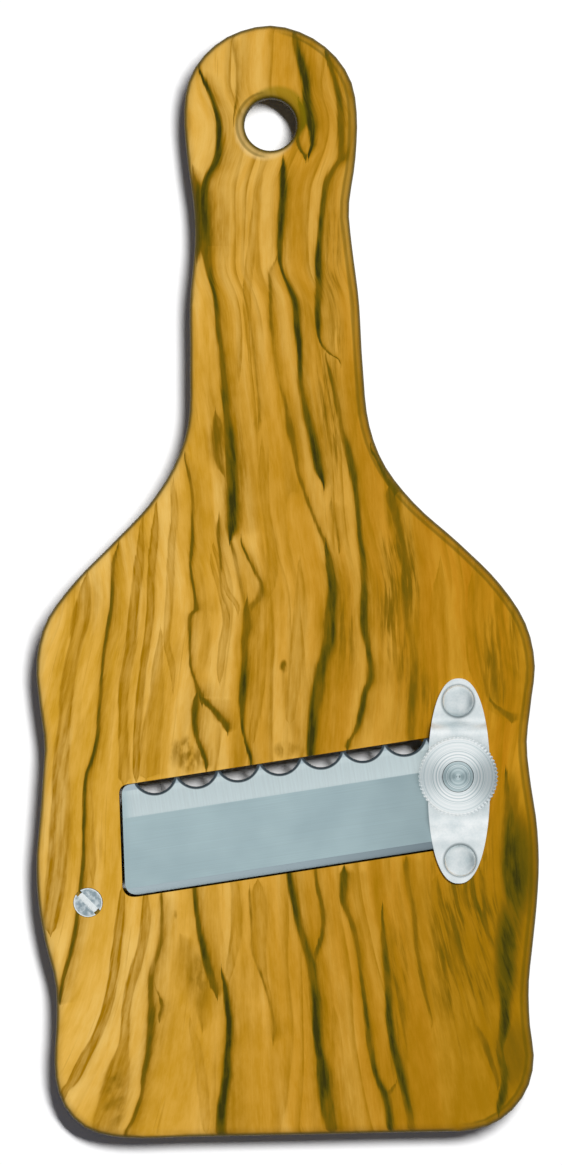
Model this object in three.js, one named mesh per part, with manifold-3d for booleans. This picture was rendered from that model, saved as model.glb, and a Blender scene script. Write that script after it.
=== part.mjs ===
import * as THREE from "three";
import { mergeVertices } from "three/addons/utils/BufferGeometryUtils.js";
import Module from "manifold-3d";

// A truffle slicer: a hardwood board with a scalloped blade that tilts in a pocket of its face. A knurled
// knob on a riveted bridge holds the blade down against a spring, and so sets how thick a slice is.
// Lengths are in millimetres and angles in degrees. The board lies on its back: +Z points out of its face,
// +Y to the end of its handle, and +X to the right of someone who looks at the face.

// Board
const boardLength = 220;
const boardThickness = 14;
const bodyWidth = 99.4;
const handleWidth = 34.2;
const handleLength = 78.8;
const shoulderLength = 47.4;
const handleSideways = -3.4;
const boardEdgeRound = 2;
const hangHoleDiameter = 10.3;
const hangHoleFromEnd = 19.6;

// The board's sides from the handle's end down. Each row gives how far down its stretch a point lies, as a
// share of the stretch's length, and how far out the left and the right side are: in the handle as shares
// of its half width, in the shoulder of the way from there to the body's half width, in the body of that.
const handleShares = [
  [0.023, 0.445, 0.416],
  [0.073, 0.757, 0.734],
  [0.138, 0.942, 0.931],
  [0.218, 1, 1],
  [0.338, 0.96, 0.983],
  [0.459, 0.884, 0.908],
  [0.549, 0.873, 0.942],
  [0.689, 0.931, 1.023],
  [0.84, 0.931, 1.064],
];
const shoulderShares = [
  [0, -0.027, 0.067],
  [0.167, 0.061, 0.149],
  [0.333, 0.23, 0.319],
  [0.5, 0.486, 0.566],
  [0.667, 0.75, 0.786],
  [0.833, 0.939, 0.928],
];
const bodyShares = [
  [0, 1, 0.984],
  [0.084, 0.988, 0.968],
  [0.168, 0.968, 0.952],
  [0.253, 0.976, 0.968],
  [0.337, 0.988, 0.992],
  [0.421, 1, 1],
  [0.505, 0.992, 0.992],
  [0.589, 0.964, 0.976],
  [0.674, 0.924, 0.96],
  [0.758, 0.92, 0.964],
  [0.834, 0.928, 0.98],
  [0.893, 0.917, 0.956],
  [0.939, 0.881, 0.897],
  [0.971, 0.825, 0.813],
  [0.984, 0.781, 0.726],
];
// The lower end from left to right: how far out of the middle, and how far down the body
const lowerEndShares = [
  [-0.72, 0.994],
  [-0.62, 1],
  [-0.35, 0.997],
  [0.05, 0.993],
  [0.45, 0.988],
  [0.61, 0.9865],
];

// Blade: how far the ends of its cutting edge are from the board's sides, and how far up the body its
// left end lies, as a share of the body's length
const bladeFromLeftSide = 16.9;
const bladeFromRightSide = 11.5;
const bladeUpBodyShare = 0.74467;
const bladeSlant = 8.8;
const bladeEndLean = 6.8;
const bladeThickness = 1.6;
const bladeBehindHinge = 1.6;
const bladeBeforeHinge = 20.2;
const bladeFrontCorner = 2;
const bladeRearCorner = 2.7;
const bladeBelowFace = 0.15;
const grindWidth = 6.6;
const grindHollow = 0.25;
const edgeBevelWidth = 2.2;
const edgeBevelThickness = 0.85;
const edgeThickness = 0.3;
const rearChamferWidth = 1.4;
const rearChamferDepth = 0.25;
const scallopPitch = 8.32;
const scallopRadius = 4;
const scallopDepth = 2.5;
const scallopFromEnd = 6.8;

// How thick a slice the blade is set to at rest, and the thickest that its pocket leaves room for
const restSlice = 0.44;
const widestSlice = 1.7;

// Hinge: a rod that runs through the board and the rolled knuckles of a leaf under the blade
const rodDiameter = 2.4;
const rodSeatLength = 4.4;
const rodRecess = 1.5;
const leafThickness = 0.55;
const leafWidth = 10;
const leafFromLeftEnd = 4;
const leafFromRightEnd = 11;
const knuckleCount = 3;
const knuckleLength = 12;
const knuckleNeck = 2.6;

// Pocket for the blade, and the throat that the slices fall through
const pocketSideGap = 0.55;
const pocketDepth = 2.5;
const grooveGap = 0.5;
const ledgeGap = 1;
const throatFromBladeEnd = 10.3;
const throatFlare = 2;

// Screw that locks the rod: its shank passes through a notch in the rod's side
const lockScrewFromEnd = 10.1;
const lockScrewFromRod = 2;
const lockScrewHeadDiameter = 5.7;
const lockScrewHeadRim = 0.25;
const lockScrewShankDiameter = 2.4;
const lockScrewLength = 10;
const lockScrewPoint = 1.6;
const lockScrewSlotWidth = 1.2;
const lockScrewSlotDepth = 0.8;
const lockScrewSlotTurn = -45;

// Knob, its threaded stud, and the pad that swivels on the stud's tip
const studFromBladeEnd = 5.1;
const studBehindEdge = 8.4;
const studDiameter = 6;
const studProud = 0.2;
const studChamfer = 0.4;
const threadPitch = 1;
const closingTurnShare = 0.25;
const knobDiameter = 15.8;
const knobHeight = 5.5;
const knobChamfer = 0.6;
const knurlCount = 60;
const knurlDepth = 0.35;
const padDiameter = 5.2;
const padRim = 0.6;
const padDome = 0.6;
const padSpigotDiameter = 2;
const padSpigotLength = 1.5;

// Bridge: a bent oval plate, with its bends placed from the knob's axis, up the board and down it
const bridgeLength = 40.5;
const bridgeWidth = 12.3;
const bridgeThickness = 1.5;
const bridgeRise = 2.5;
const bridgeSideways = 0.2;
const bridgeLengthways = -0.95;
const bridgeSquareness = 2.3;
const upperRampTop = 9.5;
const upperRampFoot = 10.7;
const lowerRampTop = 8;
const lowerRampFoot = 12.6;
const bendLength = 1;

// Bush that the stud is threaded through
const bushDiameter = 9;
const bushSpigotDiameter = 7.6;
const bushHeight = 2.6;
const bushChamfer = 0.4;

// Rivets that hold the bridge, each peened over a washer in a counterbore of the board's back
const rivetHeadDiameter = 6.2;
const rivetHeadHeight = 1.3;
const rivetHeadRim = 0.35;
const rivetShankDiameter = 3;
const rivetTailDiameter = 4.6;
const rivetTailHeight = 0.8;
const upperRivetUp = 14.9;
const upperRivetSideways = 0.1;
const lowerRivetDown = 16.7;
const lowerRivetSideways = 0.5;
const washerDiameter = 7;
const washerThickness = 0.8;
const counterboreDepth = 2.2;

// Spring that lifts the blade to the pad
const springWire = 0.8;
const springDiameter = 7.4;
const springTurns = 5;
const springSeatDepth = 9;

// Gaps between pieces, and how far a cut runs past a face
const runningGap = 0.25;
const seatGap = 0.3;
const springSideGap = 0.4;
const headGap = 0.1;
const sweepGap = 0.15;
const lipGap = 0.1;
const overrun = 1;

// How finely round shapes are divided
const outlineSteps = 190;
const roundSteps = 48;
const smallRoundSteps = 24;
const ovalSteps = 72;
const arcSteps = 8;
const edgeSteps = 3;
const bendSteps = 4;
const domeSteps = 5;
const springTurnSteps = 12;
const springSides = 6;

const wasm = await Module();
wasm.setup();

const radians = THREE.MathUtils.degToRad;

// Turns a closed geometry into a solid that can be cut and joined
function solidOf(geometry) {
  const bare = geometry.clone();
  bare.deleteAttribute("normal");
  bare.deleteAttribute("uv");
  const merged = mergeVertices(bare);
  return new wasm.Manifold(new wasm.Mesh({
    numProp: 3,
    vertProperties: merged.attributes.position.array,
    triVerts: new Uint32Array(merged.index.array),
  }));
}

function geometryOf(solid) {
  const made = solid.getMesh();
  const geometry = new THREE.BufferGeometry();
  geometry.setAttribute("position", new THREE.BufferAttribute(made.vertProperties, 3));
  geometry.setIndex(new THREE.BufferAttribute(made.triVerts, 1));
  geometry.computeVertexNormals();
  return geometry;
}

function pieceOf(name, solid, material) {
  const mesh = new THREE.Mesh(geometryOf(solid), material);
  mesh.name = name;
  return mesh;
}

function finish(color, roughness, metalness) {
  return new THREE.MeshStandardMaterial({ color, roughness, metalness });
}

function cutFrom(solid, cutters) {
  return cutters.reduce((left, cutter) => left.subtract(cutter), solid);
}

function joined(solids) {
  return solids.reduce((all, solid) => all.add(solid));
}

// A round bar along Z, from one height to another
function bar(radius, bottom, top, steps = smallRoundSteps) {
  const geometry = new THREE.CylinderGeometry(radius, radius, top - bottom, steps);
  geometry.rotateX(radians(90));
  geometry.translate(0, 0, (top + bottom) / 2);
  return geometry;
}

// A round bar along X, from one place to another
function barAlongX(radius, start, end) {
  const geometry = new THREE.CylinderGeometry(radius, radius, end - start, smallRoundSteps);
  geometry.rotateZ(radians(90));
  geometry.translate((start + end) / 2, 0, 0);
  return geometry;
}

// A shape turned about Z: the profile lists radius and height, from the bottom up its outside
function turned(profile, steps = smallRoundSteps) {
  const points = profile.map(([radius, height]) => new THREE.Vector2(radius, height));
  const geometry = new THREE.LatheGeometry(points, steps);
  geometry.rotateX(radians(90));
  return geometry;
}

function prism(shape, bottom, top) {
  const settings = { depth: top - bottom, bevelEnabled: false, curveSegments: arcSteps };
  const geometry = new THREE.ExtrudeGeometry(shape, settings);
  geometry.translate(0, 0, bottom);
  return geometry;
}

// A prism along X, whose shape lies in Y and Z
function prismAlongX(shape, start, end) {
  const turn = new THREE.Matrix4().makeBasis(
    new THREE.Vector3(0, 1, 0),
    new THREE.Vector3(0, 0, 1),
    new THREE.Vector3(1, 0, 0),
  );
  return prism(shape, start, end).applyMatrix4(turn);
}

// A polygon with rounded corners, each given as x, y and radius
function roundedShape(corners) {
  const shape = new THREE.Shape();
  corners.forEach(([x, y, radius], i) => {
    const corner = new THREE.Vector2(x, y);
    const [beforeX, beforeY] = corners.at(i - 1);
    const [afterX, afterY] = corners[(i + 1) % corners.length];
    const back = new THREE.Vector2(beforeX, beforeY).sub(corner).normalize();
    const ahead = new THREE.Vector2(afterX, afterY).sub(corner).normalize();
    const trim = radius / Math.tan(Math.acos(back.dot(ahead)) / 2);
    const arcStart = back.multiplyScalar(trim).add(corner);
    const arcEnd = ahead.multiplyScalar(trim).add(corner);
    if (i === 0) shape.moveTo(arcStart.x, arcStart.y);
    else shape.lineTo(arcStart.x, arcStart.y);
    shape.quadraticCurveTo(x, y, arcEnd.x, arcEnd.y);
  });
  shape.closePath();
  return shape;
}

// What follows from the board's size
const bodyLength = boardLength - handleLength - shoulderLength;
const bladeLength = bodyWidth - bladeFromLeftSide - bladeFromRightSide;
const leafLength = bladeLength - leafFromLeftEnd - leafFromRightEnd;
const throatLength = bladeLength - throatFromBladeEnd;
const studAlongBlade = bladeLength - studFromBladeEnd;

// Hinge and tilt: heights over the hinge axis are those of the blade lying flat
const rodRadius = rodDiameter / 2;
const knuckleBore = rodRadius + runningGap;
const knuckleRadius = knuckleBore + leafThickness;
const bladeUnderside = knuckleRadius + seatGap;
const bladeTop = bladeUnderside + bladeThickness;
const hingeDepth = bladeTop + bladeBelowFace;

// The tilt, in radians, at which the cutting edge stands so far above the board's face
function tiltFor(slice) {
  const reach = Math.hypot(bladeBeforeHinge, bladeUnderside);
  return Math.asin((hingeDepth + slice) / reach) - Math.atan2(bladeUnderside, bladeBeforeHinge);
}

const restTilt = tiltFor(restSlice);
const widestTilt = tiltFor(widestSlice);
const edgeOffset = bladeBeforeHinge * Math.cos(restTilt) - bladeUnderside * Math.sin(restTilt);
const hingeBehindLip = edgeOffset + lipGap;

// How high above the board's face a plane of the tilted blade is, so far before the hinge
function bladeHeight(overHinge, beforeHinge) {
  return beforeHinge * Math.tan(restTilt) + overHinge / Math.cos(restTilt) - hingeDepth;
}

// The blade's own frame: its origin is the left end of the throat's lip, X runs along the lip and -Y
// to the hinge, and Z is 0 on the board's face
const bladeOrigin = new THREE.Vector3(
  bladeFromLeftSide - bodyWidth / 2,
  bladeUpBodyShare * bodyLength - boardLength / 2,
  boardThickness,
);
const bladeFrame = new THREE.Matrix4()
  .makeTranslation(bladeOrigin)
  .multiply(new THREE.Matrix4().makeRotationZ(radians(bladeSlant)));

function onBoard(alongBlade, behindLip) {
  return new THREE.Vector3(alongBlade, -behindLip, 0).applyMatrix4(bladeFrame);
}

const leanSlope = Math.tan(radians(bladeEndLean));
const knobAxis = onBoard(studAlongBlade, studBehindEdge);
const lockScrewAxis = onBoard(-lockScrewFromEnd, hingeBehindLip + lockScrewFromRod);
const upperRivetAxis = new THREE.Vector3(upperRivetSideways, upperRivetUp, 0).add(knobAxis);
const lowerRivetAxis = new THREE.Vector3(lowerRivetSideways, -lowerRivetDown, 0).add(knobAxis);

// A four-sided shape whose ends lean as the blade's do, between two lines behind the lip
function leanedShape(start, end, front, rear, frontCorner, rearCorner) {
  return roundedShape([
    [start - rear * leanSlope, -rear, rearCorner],
    [end - rear * leanSlope, -rear, rearCorner],
    [end - front * leanSlope, -front, frontCorner],
    [start - front * leanSlope, -front, frontCorner],
  ]);
}

// Pocket, groove and throat
const rearChamferHeight = bladeTop - rearChamferDepth;
const rearSweep = bladeBehindHinge * Math.cos(widestTilt) + rearChamferHeight * Math.sin(widestTilt);
const pocketRear = hingeBehindLip + rearSweep + sweepGap;
const pocketEnd = bladeLength + pocketSideGap;
const grooveFront = hingeBehindLip - knuckleRadius - ledgeGap;
const grooveDepth = hingeDepth + knuckleRadius + grooveGap;
const rodSeatEnd = pocketEnd - hingeBehindLip * leanSlope + rodSeatLength;
const rodFromSide = bladeFromLeftSide + hingeBehindLip * Math.sin(radians(bladeSlant));
const rodStart = (rodRecess - rodFromSide) / Math.cos(radians(bladeSlant));

// Bridge, bush and knob: heights above the board's face
const bridgeTop = bridgeRise + bridgeThickness;
const bushTop = bridgeTop + bushHeight;
const knobDrop = threadPitch * closingTurnShare;
const knobBottom = bridgeTop + seatGap + knobDrop;
const knobTop = knobBottom + knobHeight;
const recessTop = bushTop + seatGap + knobDrop;
const studBeforeHinge = hingeBehindLip - studBehindEdge;
const padBottom = bladeHeight(bladeTop, studBeforeHinge) + seatGap;
const padShoulder = padBottom + padDome + padRim;
const studBottom = padShoulder + seatGap;

// Spring
const springRadius = (springDiameter - springWire) / 2;
const springTop = bladeHeight(bladeUnderside, studBeforeHinge - springDiameter / 2) - seatGap;

function boardOutline() {
  const handleEnd = boardLength / 2;
  const shoulderTop = handleEnd - handleLength;
  const bodyTop = shoulderTop - shoulderLength;
  const left = [];
  const right = [];
  for (const [down, leftOut, rightOut] of handleShares) {
    const y = handleEnd - down * handleLength;
    left.push([handleSideways - leftOut * handleWidth / 2, y]);
    right.push([handleSideways + rightOut * handleWidth / 2, y]);
  }
  for (const [down, leftOut, rightOut] of shoulderShares) {
    const y = shoulderTop - down * shoulderLength;
    const leftSide = handleWidth / 2 - handleSideways;
    const rightSide = handleWidth / 2 + handleSideways;
    left.push([-leftSide - leftOut * (bodyWidth / 2 - leftSide), y]);
    right.push([rightSide + rightOut * (bodyWidth / 2 - rightSide), y]);
  }
  for (const [down, leftOut, rightOut] of bodyShares) {
    const y = bodyTop - down * bodyLength;
    left.push([-leftOut * bodyWidth / 2, y]);
    right.push([rightOut * bodyWidth / 2, y]);
  }
  const lower = lowerEndShares.map(([out, down]) => [out * bodyWidth / 2, bodyTop - down * bodyLength]);
  const points = [[handleSideways, handleEnd], ...left, ...lower, ...right.reverse()];
  const curve = new THREE.CatmullRomCurve3(
    points.map(([x, y]) => new THREE.Vector3(x, y, 0)),
    true,
    "centripetal",
  );
  const even = curve.getSpacedPoints(outlineSteps).slice(0, outlineSteps);
  return even.map(({ x, y }) => new THREE.Vector2(x, y));
}

// The screw's outline as a turned profile, grown by a gap for its hole
function lockScrewProfile(gap) {
  const head = lockScrewHeadDiameter / 2 + gap;
  const shank = lockScrewShankDiameter / 2 + gap;
  const tip = -lockScrewLength - gap;
  const coneTop = -lockScrewHeadRim;
  return [
    [0, tip],
    [shank, tip + lockScrewPoint],
    [shank, coneTop - (head - shank)],
    [head, coneTop],
    [head, 0],
  ];
}

function boardSolid(outline) {
  const shape = new THREE.Shape(outline);
  const hole = new THREE.Path();
  const holeCentre = boardLength / 2 - hangHoleFromEnd;
  hole.absarc(handleSideways, holeCentre, hangHoleDiameter / 2, 0, radians(360), true);
  shape.holes.push(hole);
  const slab = new THREE.ExtrudeGeometry(shape, {
    depth: boardThickness - 2 * boardEdgeRound,
    bevelThickness: boardEdgeRound,
    bevelSize: boardEdgeRound,
    bevelOffset: -boardEdgeRound,
    bevelSegments: edgeSteps,
    curveSegments: roundSteps / 2,
  });
  slab.translate(0, 0, boardEdgeRound);

  const pocket = leanedShape(-pocketSideGap, pocketEnd, 0, pocketRear, bladeFrontCorner, bladeRearCorner);
  const groove = leanedShape(-pocketSideGap, pocketEnd, grooveFront, pocketRear, 0, bladeRearCorner);
  const throat = leanedShape(-pocketSideGap, throatLength, 0, grooveFront, bladeFrontCorner, 0);
  const flare = new THREE.ExtrudeGeometry(throat, {
    depth: overrun,
    bevelThickness: throatFlare,
    bevelSize: throatFlare,
    bevelSegments: 1,
    curveSegments: arcSteps,
  });
  flare.translate(0, 0, -boardThickness - overrun);
  const rodBore = barAlongX(rodRadius + runningGap, -bladeLength, rodSeatEnd);
  rodBore.translate(0, -hingeBehindLip, -hingeDepth);
  const springSeat = bar(springDiameter / 2 + springSideGap, -springSeatDepth, overrun);
  springSeat.translate(studAlongBlade, -studBehindEdge, 0);
  const inBladeFrame = [
    prism(pocket, -pocketDepth, overrun),
    prism(groove, -grooveDepth, overrun),
    prism(throat, -boardThickness - overrun, overrun),
    flare,
    rodBore,
    springSeat,
  ];

  const screwProfile = lockScrewProfile(headGap);
  const [screwRim] = screwProfile.at(-1);
  const screwHole = turned([...screwProfile, [screwRim, overrun], [0, overrun]]);
  screwHole.translate(lockScrewAxis.x, lockScrewAxis.y, boardThickness);
  const onFace = [screwHole];
  for (const { x, y } of [upperRivetAxis, lowerRivetAxis]) {
    const bore = bar(rivetShankDiameter / 2 + runningGap, -overrun, boardThickness + overrun);
    const counterbore = bar(washerDiameter / 2 + runningGap, -overrun, counterboreDepth);
    onFace.push(bore.translate(x, y, 0), counterbore.translate(x, y, 0));
  }
  const cutters = [...inBladeFrame.map((cutter) => cutter.applyMatrix4(bladeFrame)), ...onFace];
  return cutFrom(solidOf(slab), cutters.map(solidOf));
}

// The blade lies flat here: X runs along it from the left end of its edge, and Y and Z start at the hinge
function bladeSolid() {
  const edge = bladeBeforeHinge;
  const rear = -bladeBehindHinge;
  const endAt = (y) => (y - edge) * leanSlope;
  const plan = roundedShape([
    [endAt(rear), rear, bladeRearCorner],
    [endAt(rear) + bladeLength, rear, bladeFrontCorner],
    [endAt(edge) + bladeLength, edge, bladeFrontCorner],
    [endAt(edge), edge, bladeFrontCorner],
  ]);
  const grindStart = edge - grindWidth;
  const bevelStart = edge - edgeBevelWidth;
  const bevelTop = bladeUnderside + edgeBevelThickness;
  const profile = new THREE.Shape();
  profile.moveTo(rear, bladeUnderside);
  profile.lineTo(edge, bladeUnderside);
  profile.lineTo(edge, bladeUnderside + edgeThickness);
  profile.lineTo(bevelStart, bevelTop);
  profile.quadraticCurveTo(
    (grindStart + bevelStart) / 2,
    (bladeTop + bevelTop) / 2 - grindHollow,
    grindStart,
    bladeTop,
  );
  profile.lineTo(rear + rearChamferWidth, bladeTop);
  profile.lineTo(rear, rearChamferHeight);
  profile.closePath();
  const slab = solidOf(prism(plan, 0, bladeTop + overrun));
  const section = solidOf(prismAlongX(profile, -bladeLength, 2 * bladeLength));
  const scallopHeight = scallopRadius - scallopDepth;
  const halfChord = Math.sqrt(scallopRadius ** 2 - scallopHeight ** 2);
  const lastCentre = bladeLength - bladeFrontCorner - halfChord;
  const scallops = [];
  for (let x = scallopFromEnd; x <= lastCentre; x += scallopPitch) {
    const scallop = bar(scallopRadius, -overrun, bladeTop + overrun, roundSteps);
    scallops.push(solidOf(scallop.translate(x, edge + scallopHeight, 0)));
  }
  return cutFrom(slab.intersect(section), scallops);
}

// The leaf lies flat in the same frame: a strip under the blade, with knuckles rolled round the rod
function hingeLeafSolid() {
  const strip = (start, end, rear, front) => {
    const box = new THREE.BoxGeometry(end - start, front - rear, leafThickness);
    return solidOf(box.translate((start + end) / 2, (front + rear) / 2, knuckleRadius - leafThickness / 2));
  };
  const leafEnd = leafFromLeftEnd + leafLength;
  const solids = [strip(leafFromLeftEnd, leafEnd, knuckleNeck, leafWidth)];
  const step = (leafLength - knuckleLength) / (knuckleCount - 1);
  for (let i = 0; i < knuckleCount; i++) {
    const start = leafFromLeftEnd + i * step;
    const end = start + knuckleLength;
    solids.push(strip(start, end, 0, knuckleNeck + leafThickness));
    solids.push(solidOf(barAlongX(knuckleRadius, start, end)));
  }
  const bore = barAlongX(knuckleBore, leafFromLeftEnd - overrun, leafEnd + overrun);
  return joined(solids).subtract(solidOf(bore));
}

function hingeRodSolid() {
  const rod = solidOf(barAlongX(rodRadius, rodStart, rodSeatEnd - runningGap));
  const notch = bar(lockScrewShankDiameter / 2 + seatGap, -rodDiameter, rodDiameter);
  notch.translate(-lockScrewFromEnd, -lockScrewFromRod, 0);
  return rod.subtract(solidOf(notch));
}

function lockScrewSolid() {
  const screw = solidOf(turned([...lockScrewProfile(0), [0, 0]]));
  const slot = new THREE.BoxGeometry(lockScrewHeadDiameter + overrun, lockScrewSlotWidth, 2 * lockScrewSlotDepth);
  return screw.subtract(solidOf(slot.rotateZ(radians(lockScrewSlotTurn))));
}

// The bridge's underside seen from its left, as Y and Z from the knob's axis, with its bends rounded
function bridgePath() {
  const lowerTip = bridgeLengthways - bridgeLength / 2 - overrun;
  const upperTip = bridgeLengthways + bridgeLength / 2 + overrun;
  const bends = [
    [-lowerRampFoot, 0],
    [-lowerRampTop, bridgeRise],
    [upperRampTop, bridgeRise],
    [upperRampFoot, 0],
  ].map(([y, z]) => new THREE.Vector2(y, z));
  const ends = [new THREE.Vector2(lowerTip, 0), ...bends, new THREE.Vector2(upperTip, 0)];
  const path = new THREE.Path();
  path.moveTo(lowerTip, 0);
  bends.forEach((bend, i) => {
    const start = ends[i].clone().sub(bend).setLength(bendLength).add(bend);
    const end = ends[i + 2].clone().sub(bend).setLength(bendLength).add(bend);
    path.lineTo(start.x, start.y);
    path.quadraticCurveTo(bend.x, bend.y, end.x, end.y);
  });
  path.lineTo(upperTip, 0);
  return path.getPoints(bendSteps);
}

// The same line, moved up by the plate's thickness at a right angle to each stretch
function raised(points, thickness) {
  const stretches = points.slice(1).map((point, i) => point.clone().sub(points[i]).normalize());
  return points.map((point, i) => {
    const before = stretches[Math.max(i - 1, 0)];
    const after = stretches[Math.min(i, stretches.length - 1)];
    const along = before.clone().add(after).normalize();
    const reach = thickness / along.dot(before);
    return new THREE.Vector2(-along.y, along.x).multiplyScalar(reach).add(point);
  });
}

function bridgeSolid() {
  const under = bridgePath();
  const side = new THREE.Shape([...under, ...raised(under, bridgeThickness).reverse()]);
  const plate = solidOf(prismAlongX(side, -bridgeWidth, bridgeWidth));
  const power = 2 / bridgeSquareness;
  const oval = [];
  for (let i = 0; i < ovalSteps; i++) {
    const angle = radians(360) * i / ovalSteps;
    const [x, y] = [Math.cos(angle), Math.sin(angle)];
    oval.push(new THREE.Vector2(
      bridgeSideways + Math.sign(x) * Math.abs(x) ** power * bridgeWidth / 2,
      bridgeLengthways + Math.sign(y) * Math.abs(y) ** power * bridgeLength / 2,
    ));
  }
  const outline = solidOf(prism(new THREE.Shape(oval), -overrun, bridgeTop + overrun));
  const holes = [bar(bushSpigotDiameter / 2 + runningGap, -overrun, bridgeTop + overrun)];
  for (const axis of [upperRivetAxis, lowerRivetAxis]) {
    const { x, y } = axis.clone().sub(knobAxis);
    const hole = bar(rivetShankDiameter / 2 + runningGap, -overrun, bridgeTop + overrun);
    holes.push(hole.translate(x, y, 0));
  }
  return cutFrom(plate.intersect(outline), holes.map(solidOf));
}

function bushSolid() {
  const bore = studDiameter / 2 + runningGap;
  const spigot = bushSpigotDiameter / 2;
  const outside = bushDiameter / 2;
  return solidOf(turned([
    [bore, bridgeRise],
    [spigot, bridgeRise],
    [spigot, bridgeTop],
    [outside, bridgeTop],
    [outside, bushTop - bushChamfer],
    [outside - bushChamfer, bushTop],
    [bore, bushTop],
    [bore, bridgeRise],
  ]));
}

function rivetSolid() {
  const shank = rivetShankDiameter / 2;
  const tail = rivetTailDiameter / 2;
  const head = rivetHeadDiameter / 2;
  const headBottom = boardThickness + bridgeThickness;
  const washerBottom = counterboreDepth - washerThickness;
  const profile = [
    [0, washerBottom - rivetTailHeight],
    [tail, washerBottom - rivetTailHeight],
    [tail, washerBottom],
    [shank, washerBottom],
    [shank, headBottom],
  ];
  for (let i = 0; i <= domeSteps; i++) {
    const angle = radians(90) * i / domeSteps;
    const rise = rivetHeadRim + (rivetHeadHeight - rivetHeadRim) * Math.sin(angle);
    profile.push([head * Math.cos(angle), headBottom + rise]);
  }
  profile.splice(-domeSteps - 1, 0, [head, headBottom]);
  return solidOf(turned(profile));
}

function washerSolid() {
  const bore = rivetShankDiameter / 2 + runningGap;
  const outside = washerDiameter / 2;
  const bottom = counterboreDepth - washerThickness;
  return solidOf(turned([
    [bore, bottom],
    [outside, bottom],
    [outside, counterboreDepth],
    [bore, counterboreDepth],
    [bore, bottom],
  ]));
}

function knobSolid() {
  const outside = knobDiameter / 2;
  const rim = outside - knobChamfer;
  const body = turned([
    [0, knobBottom],
    [rim, knobBottom],
    [outside, knobBottom + knobChamfer],
    [outside, knobTop - knobChamfer],
    [rim, knobTop],
    [0, knobTop],
  ], 2 * knurlCount);
  const teeth = [];
  for (let i = 0; i < 2 * knurlCount; i++) {
    const angle = radians(180) * i / knurlCount;
    const radius = i % 2 ? outside - knurlDepth : outside + knurlDepth;
    teeth.push(new THREE.Vector2(radius * Math.sin(angle), radius * Math.cos(angle)));
  }
  const knurl = solidOf(prism(new THREE.Shape(teeth), knobBottom - overrun, knobTop + overrun));
  const recess = bar(bushDiameter / 2 + springSideGap, knobBottom - overrun, recessTop, roundSteps);
  const bore = bar(studDiameter / 2 + headGap, knobBottom, knobTop + overrun);
  return cutFrom(solidOf(body).intersect(knurl), [solidOf(recess), solidOf(bore)]);
}

function studSolid() {
  const radius = studDiameter / 2;
  const top = knobTop + studProud;
  const stud = solidOf(turned([
    [0, studBottom],
    [radius - studChamfer, studBottom],
    [radius, studBottom + studChamfer],
    [radius, top - studChamfer],
    [radius - studChamfer, top],
    [0, top],
  ]));
  const socketTop = padShoulder + padSpigotLength + seatGap;
  return stud.subtract(solidOf(bar(padSpigotDiameter / 2 + runningGap, studBottom - overrun, socketTop)));
}

function padSolid() {
  const radius = padDiameter / 2;
  const spigot = padSpigotDiameter / 2;
  const ballRadius = (radius ** 2 + padDome ** 2) / (2 * padDome);
  const reach = Math.asin(radius / ballRadius);
  const profile = [];
  for (let i = 0; i <= domeSteps; i++) {
    const angle = reach * i / domeSteps;
    profile.push([ballRadius * Math.sin(angle), padBottom + ballRadius * (1 - Math.cos(angle))]);
  }
  profile.push([radius, padShoulder]);
  profile.push([spigot, padShoulder]);
  profile.push([spigot, padShoulder + padSpigotLength]);
  profile.push([0, padShoulder + padSpigotLength]);
  return solidOf(turned(profile));
}

// One unbroken tube along a helix about Z, with a straight stretch at each end
function springGeometry() {
  const bottom = -springSeatDepth + headGap + springWire / 2;
  const rise = springTop - springWire / 2 - bottom;
  const steps = springTurns * springTurnSteps;
  const centres = [];
  for (let i = 0; i <= steps; i++) {
    const angle = radians(360) * i / springTurnSteps;
    const height = bottom + rise * i / steps;
    centres.push(new THREE.Vector3(springRadius * Math.cos(angle), springRadius * Math.sin(angle), height));
  }
  const positions = [];
  const triangles = [];
  centres.forEach((centre, i) => {
    const before = centres[Math.max(i - 1, 0)];
    const after = centres[Math.min(i + 1, steps)];
    const along = after.clone().sub(before).normalize();
    const out = new THREE.Vector3(centre.x, centre.y, 0).normalize();
    out.addScaledVector(along, -out.dot(along)).normalize();
    const across = along.clone().cross(out);
    for (let side = 0; side < springSides; side++) {
      const angle = radians(360) * side / springSides;
      const point = centre.clone();
      point.addScaledVector(out, springWire / 2 * Math.cos(angle));
      point.addScaledVector(across, springWire / 2 * Math.sin(angle));
      positions.push(point.x, point.y, point.z);
      const next = (side + 1) % springSides;
      const [a, b] = [i * springSides + side, i * springSides + next];
      if (i < steps) triangles.push(a, b, a + springSides, b, b + springSides, a + springSides);
    }
  });
  for (let side = 1; side < springSides - 1; side++) {
    const last = steps * springSides;
    triangles.push(0, side + 1, side);
    triangles.push(last, last + side, last + side + 1);
  }
  let leastGap = Infinity;
  centres.forEach((centre, i) => {
    for (let j = i + springTurnSteps / 2; j <= steps; j++) {
      leastGap = Math.min(leastGap, centre.distanceTo(centres[j]) - springWire);
    }
  });
  console.log(`lift_spring: least gap to itself ${leastGap.toFixed(2)} mm`);
  const geometry = new THREE.BufferGeometry();
  geometry.setAttribute("position", new THREE.BufferAttribute(new Float32Array(positions), 3));
  geometry.setIndex(triangles);
  return geometry;
}

const oliveWood = finish(0xc9963c, 0.5, 0);
const steel = finish(0xaab9bf, 0.35, 1);
const brightSteel = finish(0xc4cfd2, 0.3, 1);
const satinAluminium = finish(0xe6eeee, 0.45, 1);
const turnedAluminium = finish(0xc5d3d5, 0.35, 1);
const brass = finish(0xb89a5a, 0.4, 1);
const springSteel = finish(0x8d9599, 0.4, 1);

const outline = boardOutline();
const outlineBox = new THREE.Box2().setFromPoints(outline);
const outlineCentre = outlineBox.getCenter(new THREE.Vector2());

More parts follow.
